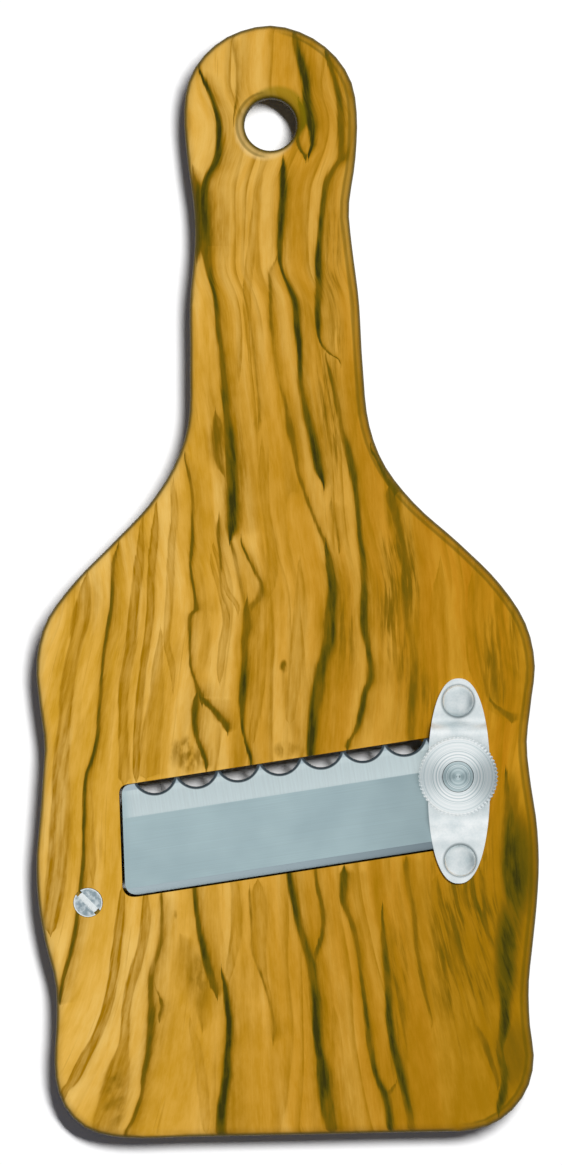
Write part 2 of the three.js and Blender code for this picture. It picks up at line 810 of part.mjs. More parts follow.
const board = pieceOf("board", boardSolid(outline), oliveWood);
const lockScrew = pieceOf("rod_lock_screw", lockScrewSolid(), brightSteel);
lockScrew.position.copy(lockScrewAxis);

const blade = pieceOf("blade", bladeSolid(), steel);
const hingeLeaf = pieceOf("hinge_leaf", hingeLeafSolid(), brightSteel);
const hinged = new THREE.Group();
hinged.position.set(0, -hingeBehindLip, -hingeDepth);
hinged.rotation.x = restTilt;
hinged.add(blade, hingeLeaf);

const hingeRod = pieceOf("hinge_rod", hingeRodSolid(), brightSteel);
hingeRod.position.copy(hinged.position);
const liftSpring = pieceOf("lift_spring", solidOf(springGeometry()), springSteel);
liftSpring.position.set(studAlongBlade, -studBehindEdge, 0);
const underBridge = new THREE.Group();
underBridge.position.copy(bladeOrigin);
underBridge.rotation.z = radians(bladeSlant);
underBridge.add(hinged, hingeRod, liftSpring);

const bridge = pieceOf("bridge", bridgeSolid(), satinAluminium);
const bush = pieceOf("bridge_bush", bushSolid(), brightSteel);
const pad = pieceOf("pressure_pad", padSolid(), brass);
const stud = pieceOf("adjusting_stud", studSolid(), turnedAluminium);
const knob = pieceOf("adjusting_knob", knobSolid(), turnedAluminium);
const bridgework = new THREE.Group();
bridgework.position.copy(knobAxis);
bridgework.add(bridge, bush, pad, stud, knob);

const fasteners = new THREE.Group();
const rivetAxes = { upper: upperRivetAxis, lower: lowerRivetAxis };
for (const [place, axis] of Object.entries(rivetAxes)) {
  const rivet = pieceOf(`bridge_rivet_${place}`, rivetSolid(), satinAluminium);
  const washer = pieceOf(`rivet_washer_${place}`, washerSolid(), brightSteel);
  rivet.position.set(axis.x, axis.y, 0);
  washer.position.set(axis.x, axis.y, 0);
  fasteners.add(rivet, washer);
}

const assembly = new THREE.Group();
assembly.position.set(-outlineCentre.x, -outlineCentre.y, 0);
assembly.add(board, lockScrew, underBridge, bridgework, fasteners);

const slicer = new THREE.Group();
slicer.add(assembly);

export default slicer;
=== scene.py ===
import math
from functools import partial

import bmesh
import bpy
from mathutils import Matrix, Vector


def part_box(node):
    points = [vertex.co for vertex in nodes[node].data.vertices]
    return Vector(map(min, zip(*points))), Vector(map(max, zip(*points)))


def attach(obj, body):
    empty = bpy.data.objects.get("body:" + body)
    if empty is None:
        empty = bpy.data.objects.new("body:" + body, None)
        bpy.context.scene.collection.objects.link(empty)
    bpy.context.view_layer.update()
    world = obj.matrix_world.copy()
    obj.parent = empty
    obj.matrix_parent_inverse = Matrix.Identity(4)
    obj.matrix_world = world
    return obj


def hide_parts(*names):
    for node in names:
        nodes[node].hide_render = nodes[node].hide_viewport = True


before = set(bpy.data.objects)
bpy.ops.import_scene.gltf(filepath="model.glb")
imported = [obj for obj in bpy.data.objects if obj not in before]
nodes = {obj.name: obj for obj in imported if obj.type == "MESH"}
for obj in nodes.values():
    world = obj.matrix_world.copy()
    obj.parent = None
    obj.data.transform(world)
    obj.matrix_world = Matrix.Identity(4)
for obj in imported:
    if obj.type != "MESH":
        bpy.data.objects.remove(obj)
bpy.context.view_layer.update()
mm = 0.001
mergeWithin = 0.001 * mm
turn = math.tau
print("frame loaded:", len(nodes), "nodes")


def toLinear(hexColour):
    # sRGB hex to the linear colour that shaders work in
    channels = [int(hexColour[i:i + 2], 16) / 255 for i in (1, 3, 5)]
    return [c / 12.92 if c <= 0.04045 else ((c + 0.055) / 1.055) ** 2.4 for c in channels] + [1.0]


def filled(node, inputs):
    # Each input is linked to a socket, or set to a value or a hex colour
    for name, value in inputs.items():
        if isinstance(value, bpy.types.NodeSocket):
            node.id_data.links.new(value, node.inputs[name])
        else:
            node.inputs[name].default_value = toLinear(value) if isinstance(value, str) else value


# What the second word of a kind sets, as in "Math MULTIPLY"
modes = {"Math": "operation", "VectorMath": "operation", "MapRange": "interpolation_type", "Mix": "data_type"}
smooth = "MapRange SMOOTHSTEP"


def addNode(tree, kind, *values, out=0, stops=None, points=None, **settings):
    # Values fill the inputs in order, or by name in a dictionary. stops make a colour ramp, points a curve
    kind, _, mode = kind.partition(" ")
    node = tree.nodes.new("ShaderNode" + kind)
    if mode:
        settings[modes[kind]] = mode
    for name, value in settings.items():
        setattr(node, name, value)
    filled(node, values[0] if values and isinstance(values[0], dict) else dict(enumerate(values)))
    if stops:
        elements = node.color_ramp.elements
        while len(elements) < len(stops):
            elements.new(0.5)
        for element, (place, colour) in zip(elements, stops):
            element.position = place
            element.color = toLinear(colour)
    if points:
        node.mapping.extend = "HORIZONTAL"
        curve = node.mapping.curves[0]
        curve.points[0].location = points[0]
        curve.points[1].location = points[-1]
        for place in points[1:-1]:
            curve.points.new(*place)
        for point in curve.points:
            point.handle_type = "AUTO_CLAMPED"
        node.mapping.update()
    return node.outputs if out is None else node.outputs[out]


def opened(material):
    tree = material.node_tree
    return partial(addNode, tree), tree.nodes["Principled BSDF"]


def newMaterial(name):
    material = bpy.data.materials.new(name)
    material.use_nodes = True
    return material, *opened(material)


def placeIn(add, origin=(0, 0, 0), slant=0.0, unit=mm):
    # Object coordinates, moved to an origin, turned about Z and counted in the unit
    return add("Mapping", {
        "Vector": add("TexCoord", out="Object"), "Location": origin, "Rotation": (0, 0, slant),
        "Scale": (unit, unit, unit),
    }, vector_type="TEXTURE")


def fromAxis(add, centre):
    # Which way and how far from an upright axis, in mm
    flat = add("VectorMath MULTIPLY", placeIn(add, centre), (1, 1, 0))
    return flat, add("VectorMath LENGTH", flat, out="Value")


def coloured(add, colour, *overs):
    # Each colour is laid over those before it, by its share
    for share, tone in overs:
        colour = add("Mix RGBA", {0: share, 6: colour, 7: tone}, out=2)
    return colour


# A noise mostly lies between these values
noiseSpan = (0.3, 0.7)


def copiedNode(node, name):
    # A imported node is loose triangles, so its copy is merged and its flat faces joined
    work = bmesh.new()
    work.from_mesh(nodes[node].data)
    bmesh.ops.remove_doubles(work, verts=work.verts, dist=mergeWithin)
    bmesh.ops.dissolve_limit(work, angle_limit=math.radians(0.4), verts=work.verts, edges=work.edges)
    return madePiece(work, name)


def middleOf(node):
    low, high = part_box(node)
    return (low + high) / 2


def newObject(name, data):
    added = bpy.data.objects.new(name, data)
    bpy.context.scene.collection.objects.link(added)
    return added


def madePiece(work, name, smoothAngle=35):
    mesh = bpy.data.meshes.new(name)
    work.to_mesh(mesh)
    work.free()
    mesh.shade_smooth()
    mesh.set_sharp_from_angle(angle=math.radians(smoothAngle))
    return newObject(name, mesh)


def eased(piece, width, segments=2, angle=40):
    bevel = piece.modifiers.new("eased edges", "BEVEL")
    bevel.width = width * mm
    bevel.segments = segments
    bevel.limit_method = "ANGLE"
    bevel.angle_limit = math.radians(angle)
    bevel.use_clamp_overlap = True


def evened(piece):
    # Flat faces keep their own normal, and only the narrow ones between them bend the light
    normals = piece.modifiers.new("even shading", "WEIGHTED_NORMAL")
    normals.keep_sharp = True


def placed(piece, body, material, stands=()):
    piece.data.materials.clear()
    piece.data.materials.append(material)
    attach(piece, body)
    if stands:
        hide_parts(*stands)
    print("piece:", piece.name)


# Camera over the board, square to its face. The picture is as tall as viewHeight on the face
cameraSetup = {"lens": 500, "viewHeight": 230.2, "across": -1.28, "along": -0.1}

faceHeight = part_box("board")[1].z
cameraData = bpy.data.cameras.new("camera")
cameraData.lens = cameraSetup["lens"]
cameraData.sensor_width = 36
camera = newObject("camera", cameraData)
cameraHeight = cameraSetup["viewHeight"] * mm * cameraSetup["lens"] / cameraData.sensor_width
camera.location = (cameraSetup["across"] * mm, cameraSetup["along"] * mm, faceHeight + cameraHeight)
bpy.context.scene.camera = camera


# Olive wood. Its dark veins were placed one by one: each row is how far down, how far across and half how
# wide, in a grid whose square is gridSize mm and whose gridMiddle is the board's middle
grain = {
    "gridSize": 0.1976,
    "gridMiddle": (287.5, 582),
    "gridReach": 1165,
    "leanThroughBoard": 0.35,
    "trunk": 250,
    "waver": (3.4, 3.0),
    "heart": [(-1.6, 0), (-1.1, 0.25), (-0.6, 0.82), (0, 1), (0.6, 0.88), (1.1, 0.5), (1.9, 0.2), (3, 0)],
    "halo": [(-5, 0), (-3, 0.16), (-1.6, 0.5), (-0.8, 0.9), (0.4, 1), (2, 0.86), (3.5, 0.6), (6, 0.34),
             (10, 0.1), (14, 0)],
    "band": [(-4, 0), (-2, 0.06), (-1.45, 0.8), (-1, 1), (-0.3, 0.74), (0.6, 0.78), (1.3, 0.95), (1.75, 0.5),
             (2.8, 0.15), (5, 0)],
    "heartPower": 2,
    "haloPower": 0.6,
    "bandGain": 1.4,
    "hairline": (0.001, 5, 30),
    "patchFade": (1.0, 0.3),
    "patchDepth": 0.5,
    "zoneFade": (1.0, 0.2),
    "massFade": (1.25, 0.3),
    "massDepth": 0.8,
    "shadeFade": (1.08, 0.9),
    "ringWidth": 24,
    "ringWander": 5.2,
    "ringSection": [(0, 0.9), (0.04, 0.34), (0.12, 0.05), (0.4, 0.0), (0.62, 0.34), (0.84, 0.72), (0.95, 1.0),
                    (1, 0.9)],
    "ringCalm": (170, 240, 0.3, 1.0),
    "drift": [(0, -40), (80, -42), (127, -30), (200, -46), (262, -46), (303, -34), (363, -29), (420, -22),
              (467, -16), (532, -10), (600, 0), (700, -5), (800, -8), (900, -4), (1000, 0), (1165, 4)],
    "leftSpread": [(0, 0), (600, 0), (660, 0.05), (774, 0.14), (864, 0.18), (963, 0.28), (1040, 0.4),
                   (1165, 0.6)],
    "rightSpread": [(0, 0), (600, 0), (700, 0.04), (870, 0), (936, 0.05), (1016, 0.13), (1165, 0.22)],
    "groundTones": [(0.0, "#e9c068"), (0.35, "#deae4c"), (0.7, "#cb992b"), (1.0, "#b28412")],
    "haloTone": "#9c6f05",
    "haloShare": 0.86,
    "fibreShades": (0.92, 1.1),
    "mottleShades": (0.8, 1.16),
    "massShades": (0.8, 1.0),
    "paleFibre": 0.1,
    "paleMottle": 0.16,
    "mottleSpan": (0.35, 0.7),
    "veinTones": [(0.0, "#966b07"), (0.35, "#7e5d07"), (0.6, "#625006"), (0.8, "#4b4206"), (1.0, "#343006")],
    "veinFade": (0.0, 0.4),
    "rightTint": "#d8c163",
    "rightSpan": (40, 540),
    "lowRightTint": "#9a7008",
    "lowRightSpans": ((330, 520), (700, 930)),
    "lowRightMottle": (0.3, 0.65, 0.6, 0.95),
    # Painted shade on the board's rounded edges
    "edgeShadeTint": "#5a4c06",
    "rightFacing": (0.0, 0.12),
    "leftEdgeShade": (0.86, 0.48, 0.0, 0.92),
    "shoulderEdgeShade": (0.94, 0.5, 0.0, 0.9),
    "shoulderFacing": (0.05, 0.3),
    "roughness": (0.5, 0.62),
    "sheen": 0.12,
    "poreDepth": 0.04,
    "edgeShadeSection": [(0, 0.9), (0.5, 0.85), (0.72, 0.4), (0.88, 0.3), (0.96, 0.6), (0.99, 0.4), (1, 0)],
}

veins = {
    "handleLeft": (1.0, [(62, 197, 0.4), (80, 204, 1.6), (100, 213, 2), (128, 219, 2.6), (148, 219, 3),
        (162, 216, 3.4), (176, 208, 3.2), (193, 204, 4), (215, 204, 5.5), (245, 204, 6)]),
    "handleRim": (0.85, [(168, 192, 0.5), (190, 196, 5), (215, 197, 7), (240, 198, 6), (262, 196, 0.4)]),
    "neckLeft": (1.0, [(245, 204, 5), (264, 207.5, 2.6), (300, 215.5, 2.4), (337, 219, 2.4),
        (377, 223.5, 3), (412, 227, 3.6), (440, 229, 5), (467, 231, 5), (503, 231.5, 5), (525, 231, 4.5),
        (542, 230, 0.6)]),
    "neckLeftFan": (0.62, [(410, 215, 0.4), (428, 218, 6), (446, 218, 7), (466, 221, 4), (480, 226, 0.4)]),
    "neckLeftHair": (0.6, [(515, 219, 0.4), (530, 218, 2.4), (560, 220, 1.4), (590, 221, 1),
        (620, 229, 0.3)]),
    "fork": (0.62, [(534, 230, 0.4), (560, 235.5, 1.4), (580, 239.5, 1.4), (598, 243.5, 2), (609, 246, 3)]),
    "forkRight": (0.75, [(538, 241, 0.3), (558, 248, 1.4), (573, 255.5, 1.8), (586, 261, 2.4),
        (598, 259, 4), (606, 251, 4.5), (613, 247, 4)]),
    "middleLeft": (1.0, [(598, 247, 0.5), (614, 246.5, 3.4), (627, 247, 4), (645, 244, 3.2), (668, 244, 3),
        (690, 242.5, 3.4), (719, 241.8, 2), (740, 245.5, 1.6), (765, 251, 1.4)]),
    "handleFine": (0.6, [(40, 231.5, 1), (55, 235, 1.8), (72, 237.5, 1.6), (100, 236.8, 1.5),
        (122, 233, 0.3)]),
    "handleTop": (1.0, [(24, 291, 0.4), (38, 295, 2.6), (53, 298, 3.2), (70, 302.5, 4), (87, 306, 4),
        (104, 307, 4.5), (120, 309, 5), (132, 312, 3), (144, 312, 2.4), (156, 308, 1)]),
    "underHole": (0.8, [(100, 298, 0.4), (112, 303, 4.5), (124, 302, 3.4), (137, 297, 1.6), (148, 299, 1.8),
        (157, 305, 1.4)]),
    "handleRight": (0.95, [(46, 324, 0.4), (58, 327.5, 1.8), (78, 334, 2.6), (103, 339.5, 3),
        (130, 341, 3.6), (156, 341, 3.6), (168, 334, 3), (180, 327.5, 3.2), (200, 324, 2.6),
        (240, 319.5, 2.6), (263, 318, 2.8), (297, 318.5, 3.2), (318, 317.5, 3.2), (338, 319, 1.6),
        (352, 328, 1.4), (364, 341, 0.3)]),
    "handleMiddle": (1.0, [(158, 283, 0.5), (175, 283, 2.8), (200, 282, 3.4), (230, 280.5, 3.2),
        (255, 279.5, 2.4), (272, 282.5, 1.6), (287, 289, 2.2), (303, 295, 3), (330, 297.5, 3.2),
        (350, 299.3, 2.8), (380, 300, 2.6), (405, 304.5, 3.4), (422, 308, 4), (445, 313.5, 4),
        (468, 318.5, 3.8), (488, 324, 0.5)]),
    "neckRight": (0.85, [(352, 326, 0.3), (375, 331, 2.2), (398, 336, 2.8), (430, 342, 3), (452, 348, 3.2),
        (475, 353, 3), (500, 357, 2.6), (535, 359.6, 2.8), (560, 363, 3.2), (585, 364.5, 4),
        (604, 364, 4.2), (630, 364.5, 3.6), (650, 368, 3), (668, 371.5, 3.8), (680, 371, 4),
        (692, 365.5, 3.2), (712, 361, 3), (730, 356, 2.4), (747, 347, 2.2)]),
    "neckMiddleFine": (0.6, [(255, 277, 0.4), (275, 270, 1.8), (300, 270, 2), (340, 273, 2.2),
        (378, 278, 2), (406, 286, 2.6), (430, 290, 4), (446, 294, 3), (475, 299, 2), (507, 310, 1.8),
        (531, 319, 1.6), (551, 327, 3)]),
    "middle": (1.0, [(540, 325, 0.4), (560, 329, 3), (578, 331.5, 4), (592, 332, 4.6), (604, 331, 5.4),
        (618, 329, 6), (640, 328, 5.4), (655, 325, 5), (668, 321.5, 6), (684, 319, 6), (702, 315.5, 5.4),
        (725, 313, 4.4), (755, 311, 3.6)]),
    "shoulderFine": (0.6, [(500, 331, 0.4), (510, 333, 2.6), (530, 337, 2.4), (552, 339, 0.4)]),
    "neckHair": (0.5, [(285, 243, 0.3), (313, 248, 1.2), (340, 252.5, 1.4), (380, 256.7, 1.3),
        (412, 259.5, 1.6), (428, 258, 0.4)]),
    "shoulderLine": (0.75, [(455, 184, 0.5), (472, 188, 1.4), (503, 193, 1.6), (522, 192.7, 1.7),
        (545, 192, 1.8), (568, 190.4, 1.4), (595, 194.5, 1.7), (609, 196, 2.6), (616, 190, 2.2),
        (640, 189.6, 1.4), (665, 190, 1.3), (680, 195, 1.6), (694, 200, 3.4), (703, 202, 0.6)]),
    "peakLeft": (0.85, [(692, 198, 0.5), (701, 196, 3), (714, 194.5, 2.8), (726, 195, 2.6), (740, 197, 2.2),
        (752, 202, 2.4), (766, 206, 2)]),
    "peakRight": (0.8, [(694, 200, 0.5), (701, 204, 4), (710, 213.5, 3.4), (719, 221, 4.4), (725, 226, 4.4),
        (732, 228, 0.5)]),
    "leftLine": (0.85, [(543, 118, 0.4), (555, 115, 1.5), (585, 112.7, 1.8), (610, 111, 2), (634, 107, 1.6),
        (660, 102.7, 1.5), (695, 100, 1.8), (726, 98, 1.6), (745, 96, 1.5), (762, 91.5, 1.6),
        (775, 86.5, 1.6), (800, 84.5, 1.4), (850, 83.5, 1.4), (882, 81.5, 2), (914, 78, 2), (945, 72, 1.8),
        (975, 65, 1.9), (1000, 59, 2)]),
    "strokes": (0.36, [(668, 282, 0.4), (690, 286, 3), (710, 290, 3.4), (732, 296, 4), (752, 300, 6)]),
    "kneeUpper": (0.8, [(446, 370, 0.5), (463, 378, 1.5), (480, 387, 2.2), (492, 394, 4)]),
    "kneeFan": (0.7, [(484, 390, 0.5), (498, 391, 5.5), (515, 395, 5), (531, 399, 4.6), (546, 403, 4.2),
        (560, 405, 3.8), (585, 404, 3.6), (605, 404.5, 4), (625, 408, 3.4), (640, 412, 3.4), (665, 414, 4),
        (690, 413, 4.6), (740, 411, 5)]),
    "rightShade": (0.3, [(600, 412, 1), (640, 414, 12), (690, 417, 18), (740, 416, 22)]),
    "rightFine": (0.5, [(562, 474, 0.4), (580, 477, 2.6), (607, 474.5, 3), (636, 475.5, 2.6),
        (655, 479, 2.4), (684, 485.5, 2.6), (700, 490, 2.4), (708, 494, 0.4)]),
    "hook": (0.66, [(696, 489, 0.4), (704, 493, 2.4), (709, 499, 4), (713, 505, 8), (717, 511, 7),
        (722, 512, 0.5)]),
    "darkPatch": (0.93, [(770, 506, 0.5), (800, 507, 4), (830, 508, 8), (860, 511, 10.5), (890, 513, 12.5),
        (915, 510, 9.5), (950, 507, 8.5), (985, 505, 8), (1005, 504.5, 5.4), (1030, 503, 5), (1050, 500, 4),
        (1078, 505, 4), (1098, 502, 4.4), (1112, 498, 2)]),
    "patchRim": (0.45, [(850, 526, 0.5), (880, 526, 5), (905, 524, 4), (930, 519, 2), (950, 517, 0.5)]),
    "cornerFine": (0.62, [(1020, 474, 0.4), (1033, 479, 3.4), (1046, 485, 4.6), (1062, 491, 3.4),
        (1085, 498, 2)]),
    "underBridge": (0.72, [(868, 479, 0.4), (880, 482, 3), (905, 484, 2.6), (929, 487, 2), (945, 493, 2.2),
        (964, 498.5, 1.6)]),
    "lowLeft": (0.75, [(893, 161, 0.8), (916, 162, 2), (940, 161.5, 2.2), (955, 158, 2.6),
        (966, 153.5, 2.8), (985, 150.5, 2.8), (1010, 151, 3.6), (1030, 150.5, 3.4), (1052, 148, 3),
        (1076, 144, 2.4), (1095, 142, 2), (1106, 138, 2.4), (1120, 133, 2.2), (1137, 124, 2.4)]),
    "lowLeftLoop": (0.6, [(982, 154, 0.4), (996, 159, 1.4), (1007, 162, 2.2), (1018, 159, 2)]),
    "lowMiddle": (0.9, [(882, 194, 2), (907, 196.7, 2.4), (927, 199, 2.6), (945, 202.5, 3), (960, 206, 3.6),
        (972, 209.5, 4), (985, 214, 4.4), (998, 217, 0.5)]),
    "lowMiddleFan": (0.42, [(935, 180, 0.5), (950, 186, 8), (962, 192, 12), (976, 198, 14), (992, 200, 10),
        (1010, 200, 4), (1030, 202, 0.5)]),
    "lowDark": (1.0, [(970, 222, 0.4), (985, 224.5, 1.8), (1007, 227, 3), (1024, 229, 3.2),
        (1040, 228, 3.2), (1055, 226.5, 3), (1075, 226, 3.4), (1095, 223.5, 4), (1112, 221.5, 5),
        (1138, 221, 5.4)]),
    "lowFine": (0.55, [(890, 249, 0.5), (920, 251, 1.6), (947, 251.5, 1.4), (975, 261, 1.3),
        (1003, 270, 1.3), (1018, 272.7, 1.6), (1030, 274, 3.2), (1042, 273, 0.5)]),
    "lowCentre": (1.0, [(868, 289, 2), (886, 291, 2.8), (905, 294.5, 3), (929, 300, 3.2), (948, 306, 4),
        (964, 311, 4.2), (980, 313, 3.8), (1000, 315.5, 4.8), (1025, 317, 4.8), (1045, 318, 3.6),
        (1060, 321, 4), (1076, 322.5, 5.6), (1095, 325, 6), (1112, 328, 6.4), (1130, 331, 6)]),
    "lowCentreRight": (0.7, [(862, 315, 1.6), (885, 317, 2), (903, 321, 2.4), (918, 323, 2.6),
        (933, 322.5, 2.2), (946, 319, 2.4), (960, 314, 3)]),
    "lowRight": (0.88, [(872, 344, 4), (896, 343, 3.4), (912, 347, 3), (924, 352, 3), (945, 357, 2.6),
        (966, 360, 2.2), (998, 363.6, 2.2), (1030, 367.5, 2.4), (1052, 371, 2.4), (1068, 374.5, 2.6),
        (1083, 379.5, 2.8), (1095, 385, 3.6), (1110, 388, 3.4), (1128, 389.5, 3)]),
    "lowRightLink": (0.6, [(1082, 396, 0.4), (1090, 391, 3), (1098, 387, 2)]),
    "lowRightSecond": (0.92, [(905, 382, 0.4), (930, 383, 2.2), (955, 385, 3.4), (980, 387.5, 3.4),
        (1000, 389, 3.4), (1025, 390, 4), (1045, 393, 4), (1062, 397.5, 4.4), (1080, 401.5, 4),
        (1100, 406, 3.6), (1128, 410.5, 3.8)]),
    "lowRightThird": (0.6, [(862, 406, 3), (887, 409, 3), (907, 413.5, 3), (936, 415.5, 2.6),
        (960, 418.5, 2.4), (985, 423, 2.4), (1005, 428, 1.6), (1025, 432, 0.4)]),
}

# Ochre bands, in the same grid
bands = {
    "bandOne": (0.8, [(505, 156, 0.5), (531, 154.5, 2.4), (575, 151, 2.6), (615, 150, 2.6),
        (650, 145.5, 2.4), (690, 140.5, 2.4), (730, 137, 2.4), (776, 136, 2.2)]),
    "bandTwo": (0.75, [(518, 142, 0.5), (550, 140, 2.6), (582, 137, 3), (612, 133, 3), (650, 130, 3.4),
        (684, 124, 3.4), (720, 123, 3), (780, 124, 3.2)]),
    "bandThree": (0.5, [(480, 173, 0.5), (509, 174.5, 2.4), (552, 171, 2.4), (600, 169, 2.6),
        (640, 166.5, 2.4), (665, 171.8, 2.2), (690, 173, 0.5)]),
    "bandFour": (0.7, [(575, 86, 1), (600, 84, 5), (622, 80, 6), (645, 75, 4), (680, 68, 4), (720, 64.5, 4),
        (760, 60.5, 5), (810, 60, 6), (850, 58, 6.5), (890, 54, 6), (930, 50, 4)]),
    "bandFive": (0.5, [(630, 160, 0.5), (660, 158, 3), (700, 156, 5), (740, 150, 7), (774, 146, 8)]),
    "besideLine": (0.5, [(780, 90, 0.4), (820, 90, 2.4), (860, 91, 3), (885, 93, 0.4)]),
    "rightLower": (0.6, [(640, 495, 0.4), (660, 500, 5), (680, 506, 11), (705, 508, 14), (722, 506, 0.5)]),
    "lowLeftFirst": (0.8, [(890, 122, 1), (920, 120, 2.8), (952, 115.5, 3), (982, 112, 3), (1011, 106, 3.2),
        (1036, 96, 3.4), (1058, 84.5, 3.6), (1082, 72, 3.2), (1096, 63, 2)]),
    "lowLeftSecond": (0.7, [(890, 145, 1), (920, 145.5, 3), (940, 143, 3), (970, 135, 3.4), (1000, 127, 3),
        (1040, 124, 3), (1070, 118, 7), (1100, 112, 9), (1135, 104, 8)]),
    "lowFineBand": (0.6, [(885, 258, 3), (915, 259, 5), (945, 259, 4.4), (975, 264, 2), (1000, 270, 0.5)]),
    "lowRightBand": (0.5, [(880, 440, 6), (920, 444, 7), (960, 452, 7), (1000, 458, 6), (1040, 462, 6),
        (1080, 468, 8), (1120, 470, 6)]),
    "forkBand": (0.6, [(480, 262, 1), (526, 268, 3), (557, 272, 3.6), (584, 270, 3.6), (607, 262, 3),
        (650, 262, 3.4), (700, 258, 3), (740, 252, 2)]),
    "fanFirst": (0.6, [(545, 213, 0.5), (560, 218, 1.6), (590, 227, 2), (612, 238, 1)]),
    "fanSecond": (0.55, [(556, 211, 0.5), (590, 220, 1.8), (620, 226, 2.2), (650, 222, 2.4), (680, 220, 1)]),
    "lowThird": (0.6, [(868, 232, 1), (900, 236, 3.2), (930, 236, 3.6), (965, 230, 3), (985, 227, 1)]),
    "lowFaint": (0.4, [(1020, 190, 0.5), (1046, 196, 3), (1094, 203, 3.4), (1130, 206, 2)]),
    "handlePale": (0.5, [(150, 262, 0.5), (190, 258, 2.4), (240, 252, 3), (300, 247, 2.6), (360, 250, 1)]),
    "neckBand": (0.55, [(440, 262, 0.5), (480, 262, 3), (520, 266, 1)]),
    "middleBand": (0.5, [(560, 300, 0.5), (600, 300, 4), (660, 296, 4.4), (720, 290, 3)]),
    "rightBand": (0.55, [(560, 440, 0.5), (600, 438, 5), (660, 440, 6), (740, 446, 5)]),
    "shoulderArc": (0.6, [(566, 474, 0.5), (590, 472, 2.4), (630, 470, 2.6), (664, 472, 3), (700, 482, 0.5)]),
}

# Knots and mottled patches: strength, how far down and across, half length and half width, in the same grid
patches = {
    "mottleLeft": (0.62, 755, 188, 26, 26),
    "mottleMiddle": (0.6, 750, 290, 13, 22),
    "mottleLow": (0.5, 975, 200, 34, 20),
    "cornerLeft": (0.6, 1098, 113, 50, 18),
    "knotMiddle": (0.8, 667, 284, 10, 6),
    "knotLow": (0.8, 915, 173, 9, 6),
    "knotNeck": (0.75, 424, 258, 11, 6),
}

# Streaky brown zones: strength, depth of the dark streaks, and a place as the patches have
zones = {
    "shoulderLeft": (0.5, 0.0, 606, 86, 56, 30),
    "besideLeftLine": (0.5, 0.14, 650, 120, 56, 14),
    "handle": (0.6, 0.28, 250, 332, 120, 16),
    "neck": (0.8, 0.34, 400, 332, 150, 24),
    "knee": (0.9, 0.46, 590, 400, 150, 34),
    "betweenLines": (0.85, 0.3, 640, 345, 90, 17),
    "middle": (0.8, 0.34, 715, 420, 70, 34),
    "right": (0.95, 0.38, 650, 500, 110, 34),
    "lowRight": (0.9, 0.52, 930, 466, 180, 60),
    "lowMiddle": (0.75, 0.34, 1000, 398, 160, 18),
}

# Solid dark masses, as the patches are placed
masses = {
    "darkTop": (0.5, 812, 512, 46, 9),
    "darkUpper": (1.0, 868, 517, 66, 19),
    "darkLower": (0.9, 955, 506, 70, 14),
    "darkFoot": (0.5, 1055, 512, 50, 24),
}

# Round the hanging hole, painted shade on one side of its rounded rim and a painted highlight on the other:
# strength, how far down and across, radius and colour
holeShades = {"paintedShade": (0.6, 116, 277, 30, "#7d6c06"), "paintedHighlight": (0.55, 130.5, 264, 29.5, "#e8c885")}

# Layers of noise drawn out along the grain: width and length in grid squares, detail, roughness, shift, and
# for some a span and what it is stretched to. Fibres and pores are drawn coarser than real ones, to show
layers = {
    "sway": (10, 55, 2, 0.5, 0),
    "waver": (1.7, 34, 3, 0.5, 7),
    "blotches": (7, 16, 2, 0.5, 250, 0.34, 0.62, 0.35, 1.0),
    "strokes": (5, 70, 3, 0.6, 200, 0.38, 0.6, 0.25, 1.0),
    "ringSway": (48, 360, 1.5, 0.5, 11),
    "ringGaps": (30, 280, 2, 0.5, 77, 0.36, 0.6, 0.1, 0.9),
    "lines": (3.4, 150, 2, 0.6, 47, 0.6, 0.7, 0.0, 0.4),
    "haloGaps": (5, 120, 3, 0.5, 160, 0.34, 0.6, 0.72, 1.12),
    "heartGaps": (16, 110, 2, 0.5, 140, 0.36, 0.6, 0.48, 1.04),
    "fibres": (1.5, 22, 3, 0.6, 53),
    "mottle": (7, 30, 3, 0.6, 71),
    "pale": (22, 300, 2, 0.5, 90, 0.36, 0.64, 0.0, 0.5),
    "pores": (0.9, 9, 2, 0.5, 120),
}


